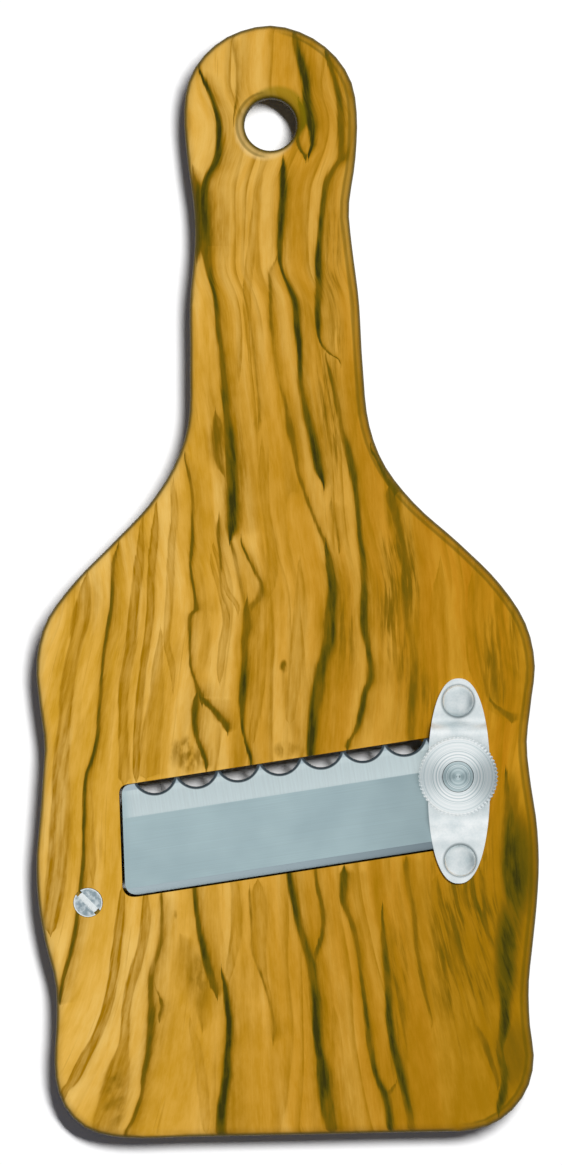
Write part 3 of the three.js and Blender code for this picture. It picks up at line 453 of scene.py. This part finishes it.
def oliveWood():
    # Oiled olive wood, planed and sanded: gold with dark greenish veins, an even low sheen, fine pores
    material, add, shader = newMaterial("oiled olive wood")
    size = grain["gridSize"] * mm
    gridZero = (-grain["gridMiddle"][0] * size, grain["gridMiddle"][1] * size, faceHeight)
    reach = grain["gridReach"]
    lean, down, depth = add("SeparateXYZ", placeIn(add, gridZero, unit=size), out=None)
    lean = add("Math MULTIPLY_ADD", depth, grain["leanThroughBoard"], lean)
    down = add("Math MULTIPLY", down, -1.0)
    along = {"Value": add("Math DIVIDE", down, reach)}

    # The grain drifts sideways down the board and spreads from the trunk line towards its lower corners
    drift = add("FloatCurve", along, points=[(y / reach, x / reach + 0.5) for y, x in grain["drift"]])
    drift = add("Math MULTIPLY_ADD", drift, reach, -reach / 2)
    fromTrunk = add("Math SUBTRACT", lean, grain["trunk"])
    for name, side in (("leftSpread", "MINIMUM"), ("rightSpread", "MAXIMUM")):
        spread = add("FloatCurve", along, points=[(y / reach, share) for y, share in grain[name]])
        drift = add("Math MULTIPLY_ADD", spread, add("Math " + side, fromTrunk, 0.0), drift)
    straightened = add("Math SUBTRACT", lean, drift)
    straight = add("CombineXYZ", straightened, down, depth)

    def streaks(name):
        width, length, detail, roughness, shift, *span = layers[name]
        place = add("Mapping", {
            "Vector": straight, "Location": (shift, shift, 0),
            "Scale": (1 / width, 1 / length, 1 / (3 * width)),
        })
        noise = add("TexNoise", {"Vector": place, "Scale": 1.0, "Detail": detail, "Roughness": roughness})
        return add(smooth, noise, *span) if span else noise

    # The veins' paths waver a little, and finer along their edges
    coarse, fine = grain["waver"]
    sideways = (coarse + fine) / 2
    wavered = add("Math MULTIPLY_ADD", streaks("sway"), coarse, lean)
    wavered = add("Math MULTIPLY_ADD", streaks("waver"), fine, wavered)
    across = add("Math MULTIPLY_ADD", wavered, 1 / reach, -sideways / reach)

    # Across a vein, in half widths from its path: a dark heart in a brown halo that fades slowly to the
    # right. Two hairline points past each tip, one near and one far, hold its curves level there
    start, end = grain["halo"][0][0], grain["halo"][-1][0]
    heart, halo, band = ([((place - start) / (end - start), value) for place, value in grain[name]]
                         for name in ("heart", "halo", "band"))
    hairline, near, far = grain["hairline"]
    darkness = brownness = 0.0
    for name, (strength, rows) in (veins | bands).items():
        (first, firstAcross, _), (last, lastAcross, _) = rows[0], rows[-1]
        rows = [(first - far, firstAcross, hairline), (first - near, firstAcross, hairline), *rows,
                (last + near, lastAcross, hairline), (last + far, lastAcross, hairline)]
        path = add("FloatCurve", along, points=[(y / reach, x / reach) for y, x, half in rows])
        half = add("FloatCurve", along, points=[(y / reach, half / reach) for y, x, half in rows])
        share = add("Math DIVIDE", add("Math SUBTRACT", across, path), half)
        inSection = {"Value": add("MapRange", share, start, end, label=name)}
        section, gain = halo, strength ** grain["haloPower"]
        if name in bands:
            section, gain = band, strength * grain["bandGain"]
        brown = add("Math MULTIPLY", add("FloatCurve", inSection, points=section), gain)
        brownness = add("Math MAXIMUM", brown, brownness)
        if name in veins:
            dark = add("FloatCurve", inSection, points=heart)
            dark = add("Math MULTIPLY", dark, strength ** grain["heartPower"])
            darkness = add("Math MAXIMUM", dark, darkness)
    grid = add("CombineXYZ", wavered, down)

    def inOval(name, strength, fade, patchDown, patchAcross, halfLength, halfWidth):
        # As strong as it says in the oval's middle, and fading out between two shares of its size
        inside = add("Mapping", {
            "Vector": grid, "Location": (patchAcross + sideways, patchDown, 0),
            "Scale": (halfWidth, halfLength, 1),
        }, vector_type="TEXTURE", label=name)
        return add(smooth, add("VectorMath LENGTH", inside, out="Value"), *fade, 0.0, strength)

    def overlaid(shape, *shares):
        # Brownness and darkness, with their shares of a shape laid over them
        return [add("Math MAXIMUM", add("Math MULTIPLY", shape, share), under)
                for share, under in zip(shares, (brownness, darkness))]

    # Knots and mottled patches are ovals of blotches, and zones are ovals of strokes
    blotches, strokes = streaks("blotches"), streaks("strokes")
    for name, (strength, *oval) in patches.items():
        shape = add("Math MULTIPLY", inOval(name, strength, grain["patchFade"], *oval), blotches)
        brownness, darkness = overlaid(shape, 1.0, grain["patchDepth"])
    for name, (strength, streakDepth, *oval) in zones.items():
        shape = add("Math MULTIPLY", inOval(name, 1.0, grain["zoneFade"], *oval), strokes)
        brownness, darkness = overlaid(shape, strength, streakDepth)

    # Growth rings between the placed veins: each darkens slowly to the left and ends in a crisp brown line
    rings = add("Math MULTIPLY", streaks("ringSway"), grain["ringWander"])
    rings = add("Math MULTIPLY_ADD", straightened, 1 / grain["ringWidth"], rings)
    rings = add("FloatCurve", {"Value": add("Math FRACT", rings)}, points=grain["ringSection"])
    rings = add("Math MULTIPLY", rings, streaks("ringGaps"))
    rings = add("Math MULTIPLY", rings, add(smooth, lean, *grain["ringCalm"]))
    brownness = add("Math MULTIPLY", brownness, streaks("haloGaps"))
    brownness = add("Math MAXIMUM", brownness, add("Math MAXIMUM", rings, streaks("lines")))
    darkness = add("Math MULTIPLY", darkness, streaks("heartGaps"))

    # Fibres and mottling break up every tone, and the solid masses are laid over them
    fibres, mottle = streaks("fibres"), streaks("mottle")
    uneven = add("Math MULTIPLY", add(smooth, fibres, *noiseSpan, *grain["fibreShades"]),
                 add(smooth, mottle, *noiseSpan, *grain["mottleShades"]))
    darkness = add("Math MULTIPLY", darkness, uneven)
    brownness = add("Math MULTIPLY", brownness, add("Math MULTIPLY", uneven, grain["haloShare"]))
    soft = add(smooth, mottle, *noiseSpan, *grain["massShades"])
    for name, (strength, *oval) in masses.items():
        shape = add("Math MULTIPLY", inOval(name, strength, grain["massFade"], *oval), soft)
        brownness, darkness = overlaid(shape, 1.0, grain["massDepth"])

    # Ground colour: pale and gold bands, more orange to the right and browner in the lower right
    pale = add(smooth, fibres, *noiseSpan)
    pale = add("Math MULTIPLY_ADD", pale, grain["paleFibre"], streaks("pale"))
    cloudy = add(smooth, mottle, *grain["mottleSpan"])
    pale = add("Math MULTIPLY_ADD", cloudy, grain["paleMottle"], pale)
    colour = add("ValToRGB", pale, stops=grain["groundTones"])
    toRight = add(smooth, lean, *grain["rightSpan"])
    colour = add("Mix RGBA", {0: toRight, 6: colour, 7: grain["rightTint"]}, out=2, blend_type="MULTIPLY")
    acrossSpan, downSpan = grain["lowRightSpans"]
    lowRight = add("Math MULTIPLY", add(smooth, lean, *acrossSpan), add(smooth, down, *downSpan))
    lowRight = add("Math MULTIPLY", lowRight, add(smooth, mottle, *grain["lowRightMottle"]))
    veinTone = add("ValToRGB", darkness, stops=grain["veinTones"])
    inVein = add(smooth, darkness, *grain["veinFade"])
    # Painted shade and a painted highlight round the hanging hole
    shades = [(inOval(name, strength, grain["shadeFade"], *middle, radius, radius), shade)
              for name, (strength, *middle, radius, shade) in holeShades.items()]

    # Painted shade on the rounded edges: they turn darker as they turn away from upright, most on the right
    # and on the shoulder there
    normalX, normalY, normalZ = add("SeparateXYZ", add("NewGeometry", out="Normal"), out=None)
    upright = add("Math ABSOLUTE", normalZ)
    onRight = add(smooth, normalX, *grain["rightFacing"])
    leftEdgeShade = add(smooth, upright, *grain["leftEdgeShade"])
    rightEdgeShade = add("FloatCurve", {"Value": upright}, points=grain["edgeShadeSection"])
    edge = add("Mix FLOAT", {0: onRight, 2: leftEdgeShade, 3: rightEdgeShade})
    shoulder = add("Math MULTIPLY", add(smooth, normalY, *grain["shoulderFacing"]),
                   add(smooth, upright, *grain["shoulderEdgeShade"]))
    edge = add("Math MAXIMUM", edge, add("Math MULTIPLY", shoulder, onRight))
    pores = streaks("pores")
    filled(shader, {
        "Base Color": coloured(add, colour, (lowRight, grain["lowRightTint"]), (brownness, grain["haloTone"]),
                               (inVein, veinTone), *shades, (edge, grain["edgeShadeTint"])),
        "Roughness": add(smooth, fibres, *noiseSpan, *grain["roughness"]),
        "Specular IOR Level": grain["sheen"],
        "Normal": add("Bump", {"Strength": 0.25, "Distance": grain["poreDepth"] * mm, "Height": pores}),
    })
    return material


boardPiece = copiedNode("board", "board_olive_wood")
evened(boardPiece)
placed(boardPiece, "slicer_body", oliveWood(), ["board"])


# Blade: its pattern runs in its own frame, whose zero is the left end of the cutting edge
blade = {
    "edgeZero": (-32.793, -40.13, 14),
    "slant": 8.8,
    "grindWidth": 6.6,
    "grindFade": 0.12,
    "grindStart": (-1.2, 2.2),
    "flat": "#b8cdd1",
    "ground": "#d2dfe1",
    "dull": "#aec3c8",
    "bevel": "#b7c6cd",
    "bevelWidth": 1.2,
    "bevelFade": (-0.25, 0.1),
    "scallopFirst": 6.8,
    "scallopPitch": 8.32,
    "scallopRadius": 4,
    "scallopMiddle": 1.5,
    "scallopRim": 0.7,
    "scallopShade": "#454f55",
    "rimFade": 0.25,
    "length": 68,
    "width": 21.8,
    "chamferWidth": 1.4,
    "chamferReflectionTones": [(0.0, "#b4c4ca"), (0.5, "#a4b4bb"), (1.0, "#728088")],
    "shadedTowardsBridge": (40, 58, 1.0, 0.88),
    "satin": (0.05, 6, 1),
    "wheel": (2.8, 0.12, 1),
    "cloudsPerMm": 0.09,
    "cloudSpan": (0.35, 0.65),
    "lineContrast": (0.93, 1.04),
    "roughness": (0.36, 0.46),
    "lineDepth": 0.01,
    "edgeEase": 0.16,
}


def bladeSteel():
    # Stainless blade steel, finely satin-ground along its length, its edge hollow-ground across and brighter
    material, add, shader = newMaterial("satin ground blade steel")
    place = placeIn(add, [c * mm for c in blade["edgeZero"]], math.radians(blade["slant"]))
    along, before, _ = add("SeparateXYZ", place, out=None)
    grindEnd, fade = -blade["grindWidth"], blade["grindFade"]
    grind = add(smooth, before, grindEnd - fade, grindEnd + fade)
    bright = add("Math MULTIPLY", grind, add(smooth, along, *blade["grindStart"]))

    # Satin lines run along the blade and the wheel's marks across its grind. The real ones are 0.05 to 0.1 mm
    # apart. They are drawn 0.17 and 0.36 mm apart so that they show
    satin, wheel = (add("TexNoise", {
        "Vector": add("Mapping", {"Vector": place, "Scale": blade[marks]}),
        "Scale": 1.0, "Detail": detail, "Roughness": 0.6,
    }) for marks, detail in (("satin", 3.0), ("wheel", 2.0)))
    lines = add("Mix FLOAT", {0: grind, 2: satin, 3: wheel})
    cloud = add("TexNoise", {"Vector": place, "Scale": blade["cloudsPerMm"], "Detail": 2.0})
    cloud = add("MapRange", cloud, *blade["cloudSpan"])
    flat = coloured(add, blade["dull"], (cloud, blade["flat"]))
    # Painted shade on the flat, darker towards the bridge
    shadedTowardsBridge = add(smooth, along, *blade["shadedTowardsBridge"])
    flat = add("VectorMath SCALE", {0: flat, "Scale": shadedTowardsBridge})

    # The edge's thin bevel has its own tone. The scallops' dark rims are painted shade, and the rear
    # chamfer's tones, darker towards the right, are a painted reflection
    bevel = add(smooth, before, *(fade - blade["bevelWidth"] for fade in blade["bevelFade"]))
    first, half = blade["scallopFirst"], blade["scallopPitch"] / 2
    rim = blade["scallopRadius"] + blade["scallopRim"]
    inPitch = add("CombineXYZ", add("Math WRAP", along, first + half, first - half), before)
    fromMiddle = add("VectorMath DISTANCE", inPitch, (first, blade["scallopMiddle"], 0), out="Value")
    pastFirst = add("Math GREATER_THAN", along, first - half)
    # Painted shade on the scallops' ground rims
    inRim = add(smooth, fromMiddle, rim, rim - blade["rimFade"], 0.0, pastFirst)
    # Painted reflection on the rear chamfer, darker towards the blade's right end
    chamferReflection = add("ValToRGB", add("Math DIVIDE", along, blade["length"]), stops=blade["chamferReflectionTones"])
    inChamfer = add("Math LESS_THAN", before, blade["chamferWidth"] - blade["width"])
    colour = coloured(add, flat, (bright, blade["ground"]), (bevel, blade["bevel"]),
                      (inRim, blade["scallopShade"]), (inChamfer, chamferReflection))
    shade = add("MapRange", lines, *noiseSpan, *blade["lineContrast"])
    filled(shader, {
        "Base Color": add("VectorMath SCALE", {0: colour, "Scale": shade}), "Metallic": 1.0,
        "Roughness": add("MapRange", lines, *noiseSpan, *blade["roughness"]),
        "Normal": add("Bump", {"Strength": 0.2, "Distance": blade["lineDepth"] * mm, "Height": lines}),
    })
    return material


bladePiece = copiedNode("blade", "blade_steel")
eased(bladePiece, blade["edgeEase"])
evened(bladePiece)
placed(bladePiece, "blade_set", bladeSteel(), ["blade"])


# Clouds of duller metal, and how far its roughness strays
metalClouds = {"perMm": 0.35, "grain": 0.5, "span": (0.5, 1.0), "roughness": (-0.05, 0.06)}


def grainyMetal(name, colour, cloudColour, roughness, grainSize, depth, stretch=(1, 1, 1)):
    # A metal whose grain is grainSize mm across and depth mm deep, and drawn into lines where it is stretched
    material, add, shader = newMaterial(name)
    place = placeIn(add)
    scaled = add("Mapping", {"Vector": place, "Scale": [s / grainSize for s in stretch]})
    fine = add("TexNoise", {"Vector": scaled, "Scale": 1.0, "Detail": 3.0})
    cloud = add("TexNoise", {"Vector": place, "Scale": metalClouds["perMm"], "Detail": 2.0})
    tone = add("Math MULTIPLY_ADD", fine, metalClouds["grain"], cloud)
    tone = add("MapRange", tone, *metalClouds["span"])
    filled(shader, {
        "Base Color": coloured(add, cloudColour, (tone, colour)), "Metallic": 1.0,
        "Roughness": add("MapRange", fine, *noiseSpan, *(roughness + r for r in metalClouds["roughness"])),
        "Normal": add("Bump", {"Strength": 0.3, "Distance": depth * mm, "Height": fine}),
    })
    return material


# Rivet aluminium, a touch duller than the bridge's, so that its domes mirror the room as a blur
rivetAluminium = grainyMetal("dull rivet aluminium", "#fbfefe", "#d9e3e5", 0.5, 0.4, 0.01)
# Stainless rod and sheet as it comes: plain grey with drawn lines
plainSteel = grainyMetal("plain stainless steel", "#c3c9cb", "#aab1b4", 0.32, 0.5, 0.01, (1, 6, 1))
# Free-cutting brass, turned
turnedBrass = grainyMetal("turned brass", "#d3b36a", "#b3914c", 0.3, 0.4, 0.01)
# Music wire with its drawing haze
springWire = grainyMetal("drawn spring steel", "#9ba1a4", "#7c8285", 0.34, 0.3, 0.01)

# The screw's head, lighter at its rim and in its slot. The rim's radii and the slot's depths are in mm
screwHead = {"axis": middleOf("rod_lock_screw"), "rim": (2.5, 2.8), "slot": (-0.06, -0.14),
             "blotchesPerMm": 0.9, "blotchSpan": (0.4, 0.62), "dull": "#93a3aa", "bright": "#d6dfe2",
             "rimAndSlotTone": "#f2f7f7"}


def scuffedSteel():
    # Bright turned steel, its head scuffed in blotches by the screwdriver
    material = grainyMetal("bright turned screw steel", "#dde5e6", "#b3c0c4", 0.34, 0.35, 0.02)
    add, shader = opened(material)
    axis = (screwHead["axis"].x, screwHead["axis"].y, faceHeight)
    place = placeIn(add, axis)
    atRim = add(smooth, fromAxis(add, axis)[1], *screwHead["rim"])
    inSlot = add("MapRange", add("SeparateXYZ", place, out="Z"), *screwHead["slot"])
    blotch = add("TexNoise", {"Vector": place, "Scale": screwHead["blotchesPerMm"], "Detail": 3.0})
    blotch = add("MapRange", blotch, *screwHead["blotchSpan"])
    headPatches = (blotch, screwHead["bright"]), (add("Math MAXIMUM", atRim, inSlot), screwHead["rimAndSlotTone"])
    filled(shader, {"Base Color": coloured(add, screwHead["dull"], *headPatches)})
    return material


# Bridge: an oval punched from sheet and bent over the blade, its bends soft and its edges rolled
bridgePlate = {
    "length": 40.5,
    "width": 12.3,
    "thickness": 1.5,
    "rise": 2.5,
    "sideways": 0.2,
    "lengthways": -0.95,
    "squareness": 2.3,
    "upperBends": {"outer": (8.0, 11.8), "inner": (9.4, 10.9)},
    "lowerBends": {"outer": (7.4, 13.3), "inner": (8.0, 12.6)},
    "bendEase": 0.4,
    "edgeRound": 0.4,
    "rowsAlong": 120,
    "rowsAcross": 16,
}
# A ring of painted shade lies round each rivet head, where it meets the plate, and is thickest towards the
# knob
rivetShade = {"radius": 3.1, "width": 0.55, "shift": 0.14, "share": 0.85, "colour": "#7d898c"}


def rivetShadedAluminium(centres):
    # Satin aluminium, tumbled after punching: nearly white, its edges rolled soft
    material = grainyMetal("tumbled satin aluminium plate", "#fbfefe", "#dde6e8", 0.36, 0.4, 0.01)
    add, shader = opened(material)
    colour = shader.inputs["Base Color"].links[0].from_socket
    # Painted shade: a dark ring round each rivet head
    ring = (rivetShade["radius"] + rivetShade["width"], rivetShade["radius"], 0.0, rivetShade["share"])
    rings = [(add(smooth, fromAxis(add, centre)[1], *ring), rivetShade["colour"]) for centre in centres]
    filled(shader, {"Base Color": coloured(add, colour, *rings)})
    return material


def plateHeight(y, side):
    # Height of the plate's outer or inner face over the board, y mm up from the knob's axis
    start, end = bridgePlate["upperBends" if y > 0 else "lowerBends"][side]
    ease = bridgePlate["bendEase"]
    share = min(max((abs(y) - start) / (end - start), 0), 1)
    if share < ease:
        fall = share * share / (2 * ease)
    elif share > 1 - ease:
        fall = 1 - ease - (1 - share) ** 2 / (2 * ease)
    else:
        fall = share - ease / 2
    thickness = bridgePlate["thickness"] if side == "outer" else 0
    return bridgePlate["rise"] * (1 - fall / (1 - ease)) + thickness


def bentPlate():
    # A flat grid is drawn in to the oval and bent, then extruded down to its underside
    work = bmesh.new()
    rowsAcross, rowsAlong = bridgePlate["rowsAcross"], bridgePlate["rowsAlong"]
    bmesh.ops.create_grid(work, x_segments=rowsAcross, y_segments=rowsAlong, size=1)
    power, lengthways = 2 / bridgePlate["squareness"], bridgePlate["lengthways"]
    for vert in work.verts:
        angle = vert.co.y * math.pi / 2
        wide = math.cos(angle) ** power * bridgePlate["width"] / 2
        y = math.copysign(abs(math.sin(angle)) ** power, angle) * bridgePlate["length"] / 2 + lengthways
        vert.co = ((vert.co.x * wide + bridgePlate["sideways"]) * mm, y * mm, plateHeight(y, "outer") * mm)
    bmesh.ops.remove_doubles(work, verts=work.verts, dist=0.02 * mm)
    under = bmesh.ops.extrude_face_region(work, geom=work.faces[:], use_keep_orig=True)["geom"]
    for vert in under:
        if isinstance(vert, bmesh.types.BMVert):
            vert.co.z = plateHeight(vert.co.y / mm, "inner") * mm
    bmesh.ops.recalc_face_normals(work, faces=work.faces)
    return work


plateWork = bentPlate()
knobCentre = middleOf("adjusting_knob")
bmesh.ops.translate(plateWork, verts=plateWork.verts, vec=(knobCentre.x, knobCentre.y, faceHeight))
bridgePiece = madePiece(plateWork, "bridge_aluminium", smoothAngle=50)
eased(bridgePiece, bridgePlate["edgeRound"], 4, angle=60)
rivetAxes = [middleOf("bridge_rivet_" + place) for place in ("upper", "lower")]
rivetShadeCentres = [axis + (knobCentre - axis).normalized() * rivetShade["shift"] * mm for axis in rivetAxes]
placed(bridgePiece, "slicer_body", rivetShadedAluminium(rivetShadeCentres), ["bridge"])


def spun(profile, centre, steps=96):
    # A profile of radius and height, in mm, turned about the upright line through centre
    work = bmesh.new()
    rim = [work.verts.new((centre.x + r * mm, centre.y, z * mm)) for r, z in profile]
    edges = [work.edges.new(pair) for pair in zip(rim, rim[1:])]
    bmesh.ops.spin(work, geom=rim + edges, cent=(centre.x, centre.y, 0), axis=(0, 0, 1),
                   angle=turn, steps=steps, use_merge=True)
    bmesh.ops.remove_doubles(work, verts=work.verts, dist=mergeWithin)
    bmesh.ops.recalc_face_normals(work, faces=work.faces)
    return work


# Rivets: low domes with a short upright rim, and a tail, of radius and height, peened over its washer
rivet = {"headRadius": 3.1, "headRim": 0.45, "headFlat": 1.7, "shankRadius": 1.5, "washerTop": 2.2,
         "washerThickness": 0.8, "domeSteps": 12, "tail": [(0, 0), (1.84, 0.08), (2.3, 0.35)]}

for place in ("upper", "lower"):
    node = "bridge_rivet_" + place
    low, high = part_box(node)
    bottom, top = low.z / mm, high.z / mm
    seat = faceHeight / mm + bridgePlate["thickness"]
    washerBottom = rivet["washerTop"] - rivet["washerThickness"]
    profile = [(r, bottom + z) for r, z in rivet["tail"]]
    profile += [(rivet["tail"][-1][0], washerBottom), (rivet["shankRadius"], washerBottom),
                (rivet["shankRadius"], seat), (rivet["headRadius"], seat)]
    dome = top - seat - rivet["headRim"]
    for i in range(rivet["domeSteps"] + 1):
        angle = math.pi / 2 * i / rivet["domeSteps"]
        across = math.cos(angle) ** (1 / rivet["headFlat"])
        profile.append((rivet["headRadius"] * across, seat + rivet["headRim"] + dome * math.sin(angle)))
    piece = madePiece(spun(profile, middleOf(node)), node + "_aluminium")
    placed(piece, "slicer_body", rivetAluminium, [node])


# Knob and stud, turned on a lathe: rings on the face, a knurled rim, a nib left by the parting tool
knob = {"chamfer": 0.6, "chamferFall": 0.3, "knurls": 60, "knurlDepth": 0.3, "bore": 3.1, "lip": 0.12,
        "recess": 4.9, "recessDepth": 2.35, "ringPitch": 0.36, "ringDepth": 0.004, "crown": 0.6, "ease": 0.15,
        "tones": [(0.3, "#ccd8da"), (0.5, "#edf4f5"), (0.7, "#ffffff")]}
stud = {"radius": 3.0, "chamfer": 0.16, "ringPitch": 0.42, "ringDepth": 0.03, "nibRadius": 0.3,
        "nibHeight": 0.16, "nibFoot": 0.15, "nibTop": 0.18, "nibEase": 0.06,
        "tones": [(0.3, "#95a8ac"), (0.5, "#bacccf"), (0.7, "#e6eeef")]}
# Feed marks 0.12 mm apart, drawn at 0.3 mm so that they show
feedMarks = {"pitch": 0.3, "depth": 0.02, "roughness": (0.42, 0.34), "stretch": 0.9}


def grooves(start, end, height, pitch, depth):
    # Shallow turned rings between two radii
    count = max(2, round(abs(end - start) / (pitch / 2)))
    return [(start + (end - start) * i / count, height - (depth if i % 2 else 0)) for i in range(count + 1)]


def turnedAluminium(name, centre, tones):
    # Turned aluminium: fine rings about the axis stretch every highlight across them, out to the rim
    material, add, shader = newMaterial(name)
    flat, radius = fromAxis(add, centre)
    marks = add("Math MULTIPLY", radius, 1 / feedMarks["pitch"])
    marks = add("TexNoise", {
        "W": marks, "Scale": 1.0, "Detail": 2.0, "Roughness": 0.7,
    }, noise_dimensions="1D")
    filled(shader, {
        "Base Color": add("ValToRGB", marks, stops=tones), "Metallic": 1.0,
        "Roughness": add("MapRange", marks, *noiseSpan, *feedMarks["roughness"]),
        "Normal": add("Bump", {"Strength": 0.35, "Distance": feedMarks["depth"] * mm, "Height": marks}),
        "Anisotropic": feedMarks["stretch"],
        "Tangent": add("VectorTransform", flat, convert_from="OBJECT", convert_to="WORLD"),
    })
    return material


knobLow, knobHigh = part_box("adjusting_knob")
knobBottom, knobTop = knobLow.z / mm, knobHigh.z / mm
knobRadius = (knobHigh.x - knobLow.x) / 2 / mm
rim = knobRadius - knob["chamfer"]
recessTop = knobBottom + knob["recessDepth"]
lip = knob["bore"] + knob["lip"]
face = grooves(rim - knob["ease"], lip, knobTop, knob["ringPitch"], knob["ringDepth"])
face = [(r, z - knob["crown"] * (r / rim) ** 2) for r, z in face]
rimTop = knobTop - knob["crown"]
boreTop = (knob["bore"], knobTop - knob["ease"])
profile = [boreTop, (knob["bore"], recessTop), (knob["recess"], recessTop), (knob["recess"], knobBottom),
           (rim, knobBottom), (knobRadius, knobBottom + knob["chamfer"]),
           (knobRadius, rimTop - knob["chamferFall"]), (rim, rimTop), *face, boreTop]
knobMesh = spun(profile, knobCentre, steps=4 * knob["knurls"])
for vert in knobMesh.verts:
    out = Vector((vert.co.x - knobCentre.x, vert.co.y - knobCentre.y))
    if out.length > (knobRadius - 0.01) * mm:
        phase = math.atan2(out.y, out.x) / turn * knob["knurls"]
        cut = knob["knurlDepth"] * mm * (0.5 - 0.5 * math.cos(turn * phase))
        out.length -= cut
        vert.co.x, vert.co.y = knobCentre.x + out.x, knobCentre.y + out.y
knobPiece = madePiece(knobMesh, "adjusting_knob_aluminium", smoothAngle=32)
knobAluminium = turnedAluminium("turned aluminium", knobCentre, knob["tones"])
placed(knobPiece, "knob_set", knobAluminium, ["adjusting_knob"])

studLow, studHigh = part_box("adjusting_stud")
studBottom, studTop = studLow.z / mm, studHigh.z / mm
faceTop, faceRadius = studTop - stud["nibHeight"], stud["radius"] - stud["chamfer"]
nibFoot = stud["nibRadius"] + stud["nibFoot"]
face = grooves(faceRadius, nibFoot, faceTop, stud["ringPitch"], stud["ringDepth"])
profile = [(0, studBottom), (faceRadius, studBottom), (stud["radius"], studBottom + stud["chamfer"]),
           (stud["radius"], faceTop - stud["chamfer"]), *face, (stud["nibRadius"], studTop - stud["nibEase"]),
           (stud["nibTop"], studTop), (0, studTop)]
studPiece = madePiece(spun(profile, middleOf("adjusting_stud")), "adjusting_stud_aluminium")
studAluminium = turnedAluminium("duller turned aluminium", knobCentre, stud["tones"])
placed(studPiece, "knob_set", studAluminium, ["adjusting_stud"])


# Small pieces keep their shapes: merged and smooth, with their own metals
smallPieces = {
    "rod_lock_screw": ("slicer_body", "screw_steel", scuffedSteel(), 0.08),
    "hinge_rod": ("slicer_body", "plain_steel", plainSteel, 0),
    "hinge_leaf": ("blade_set", "plain_steel", plainSteel, 0),
    "bridge_bush": ("slicer_body", "plain_steel", plainSteel, 0),
    "rivet_washer_upper": ("slicer_body", "plain_steel", plainSteel, 0.08),
    "rivet_washer_lower": ("slicer_body", "plain_steel", plainSteel, 0.08),
    "pressure_pad": ("pad_set", "brass", turnedBrass, 0),
}

for node, (body, slot, material, ease) in smallPieces.items():
    piece = copiedNode(node, node + "_finished")
    if ease:
        eased(piece, ease)
    evened(piece)
    placed(piece, body, material, [node])

nodes["lift_spring"].data.materials.clear()
nodes["lift_spring"].data.materials.append(springWire)


# White floor, one plain studio light a little to the upper right, and a pale room that metal can mirror
studio = {
    "floorSize": 4.0,
    "floorDrop": 0.02,
    "floorColour": "#ffffff",
    "floorBounce": "#c8c8ca",
    "roomLight": 0.08,
    "keyPower": 61,
    "keySize": (0.62, 0.2),
    "keyPlace": (0.37, 0.4, 2.4),
    "screens": [((0.7, -0.05, 0.7), 0.3, 0.74, 0.95), ((-0.72, 0.0, 0.69), 0.15, 0.62, 0.65)],
    "horizon": (0.05, 0.5, 0.85, 1.0),
    "screenTint": (0.7, 0.98, 1.08, 1.0),
    "shadeTint": (0.86, 0.92, 1.2, 1.0),
    "white": (1.0, 1.0, 1.0, 1.0),
}


def whiteFloor():
    # Paper: white to the eye, a little duller in the light that it throws back under the board
    material, add, shader = newMaterial("white paper floor")
    rays = add("LightPath", out=None)
    seen = add("Math MAXIMUM", rays["Is Camera Ray"], rays["Is Glossy Ray"])
    seen = add("Math MAXIMUM", seen, rays["Is Transmission Ray"])
    colour = coloured(add, studio["floorBounce"], (seen, studio["floorColour"]))
    filled(shader, {"Base Color": colour, "Roughness": 0.9, "Specular IOR Level": 0.0})
    return material


floorMesh = bmesh.new()
bmesh.ops.create_grid(floorMesh, x_segments=1, y_segments=1, size=studio["floorSize"] / 2)
bmesh.ops.translate(floorMesh, verts=floorMesh.verts, vec=(0, 0, -studio["floorDrop"] * mm))
floor = madePiece(floorMesh, "floor")
floor.data.materials.append(whiteFloor())

# Metal mirrors a white room with two grey screens, to the right and, fainter, to the left
world = bpy.data.worlds.new("studio")
bpy.context.scene.world = world
world.use_nodes = True
world.cycles.sampling_method = "NONE"
add = partial(addNode, world.node_tree)
direction = add("TexCoord", out="Generated")
room = add(smooth, add("SeparateXYZ", direction, out="Z"), *studio["horizon"])
for screenPlace, screenCore, screenReach, screenDepth in studio["screens"]:
    away = add("VectorMath DISTANCE", direction, screenPlace, out="Value")
    screen = add(smooth, away, screenCore, screenReach, 1 - screenDepth, 1.0)
    room = add("Math MULTIPLY", screen, room)
rays = add("LightPath", out=None)
inCamera, inMetal = rays["Is Camera Ray"], rays["Is Glossy Ray"]
strength = add("Math MAXIMUM", inCamera, add("Math MULTIPLY", inMetal, room))
mirrored = coloured(add, studio["screenTint"], (room, studio["white"]))
filled(world.node_tree.nodes["Background"], {
    "Color": coloured(add, studio["shadeTint"], (inMetal, mirrored), (inCamera, studio["white"])),
    "Strength": add("Math MAXIMUM", strength, studio["roomLight"]),
})

keyData = bpy.data.lights.new("key", "AREA")
keyData.shape = "ELLIPSE"
keyData.size, keyData.size_y = studio["keySize"]
keyData.energy = studio["keyPower"]
key = newObject("key", keyData)
key.location = studio["keyPlace"]
key.rotation_euler = Vector(studio["keyPlace"]).to_track_quat("Z", "Y").to_euler()
key.visible_glossy = False
bpy.context.scene.view_settings.view_transform = "Standard"
print("studio ready")

bpy.context.view_layer.update()
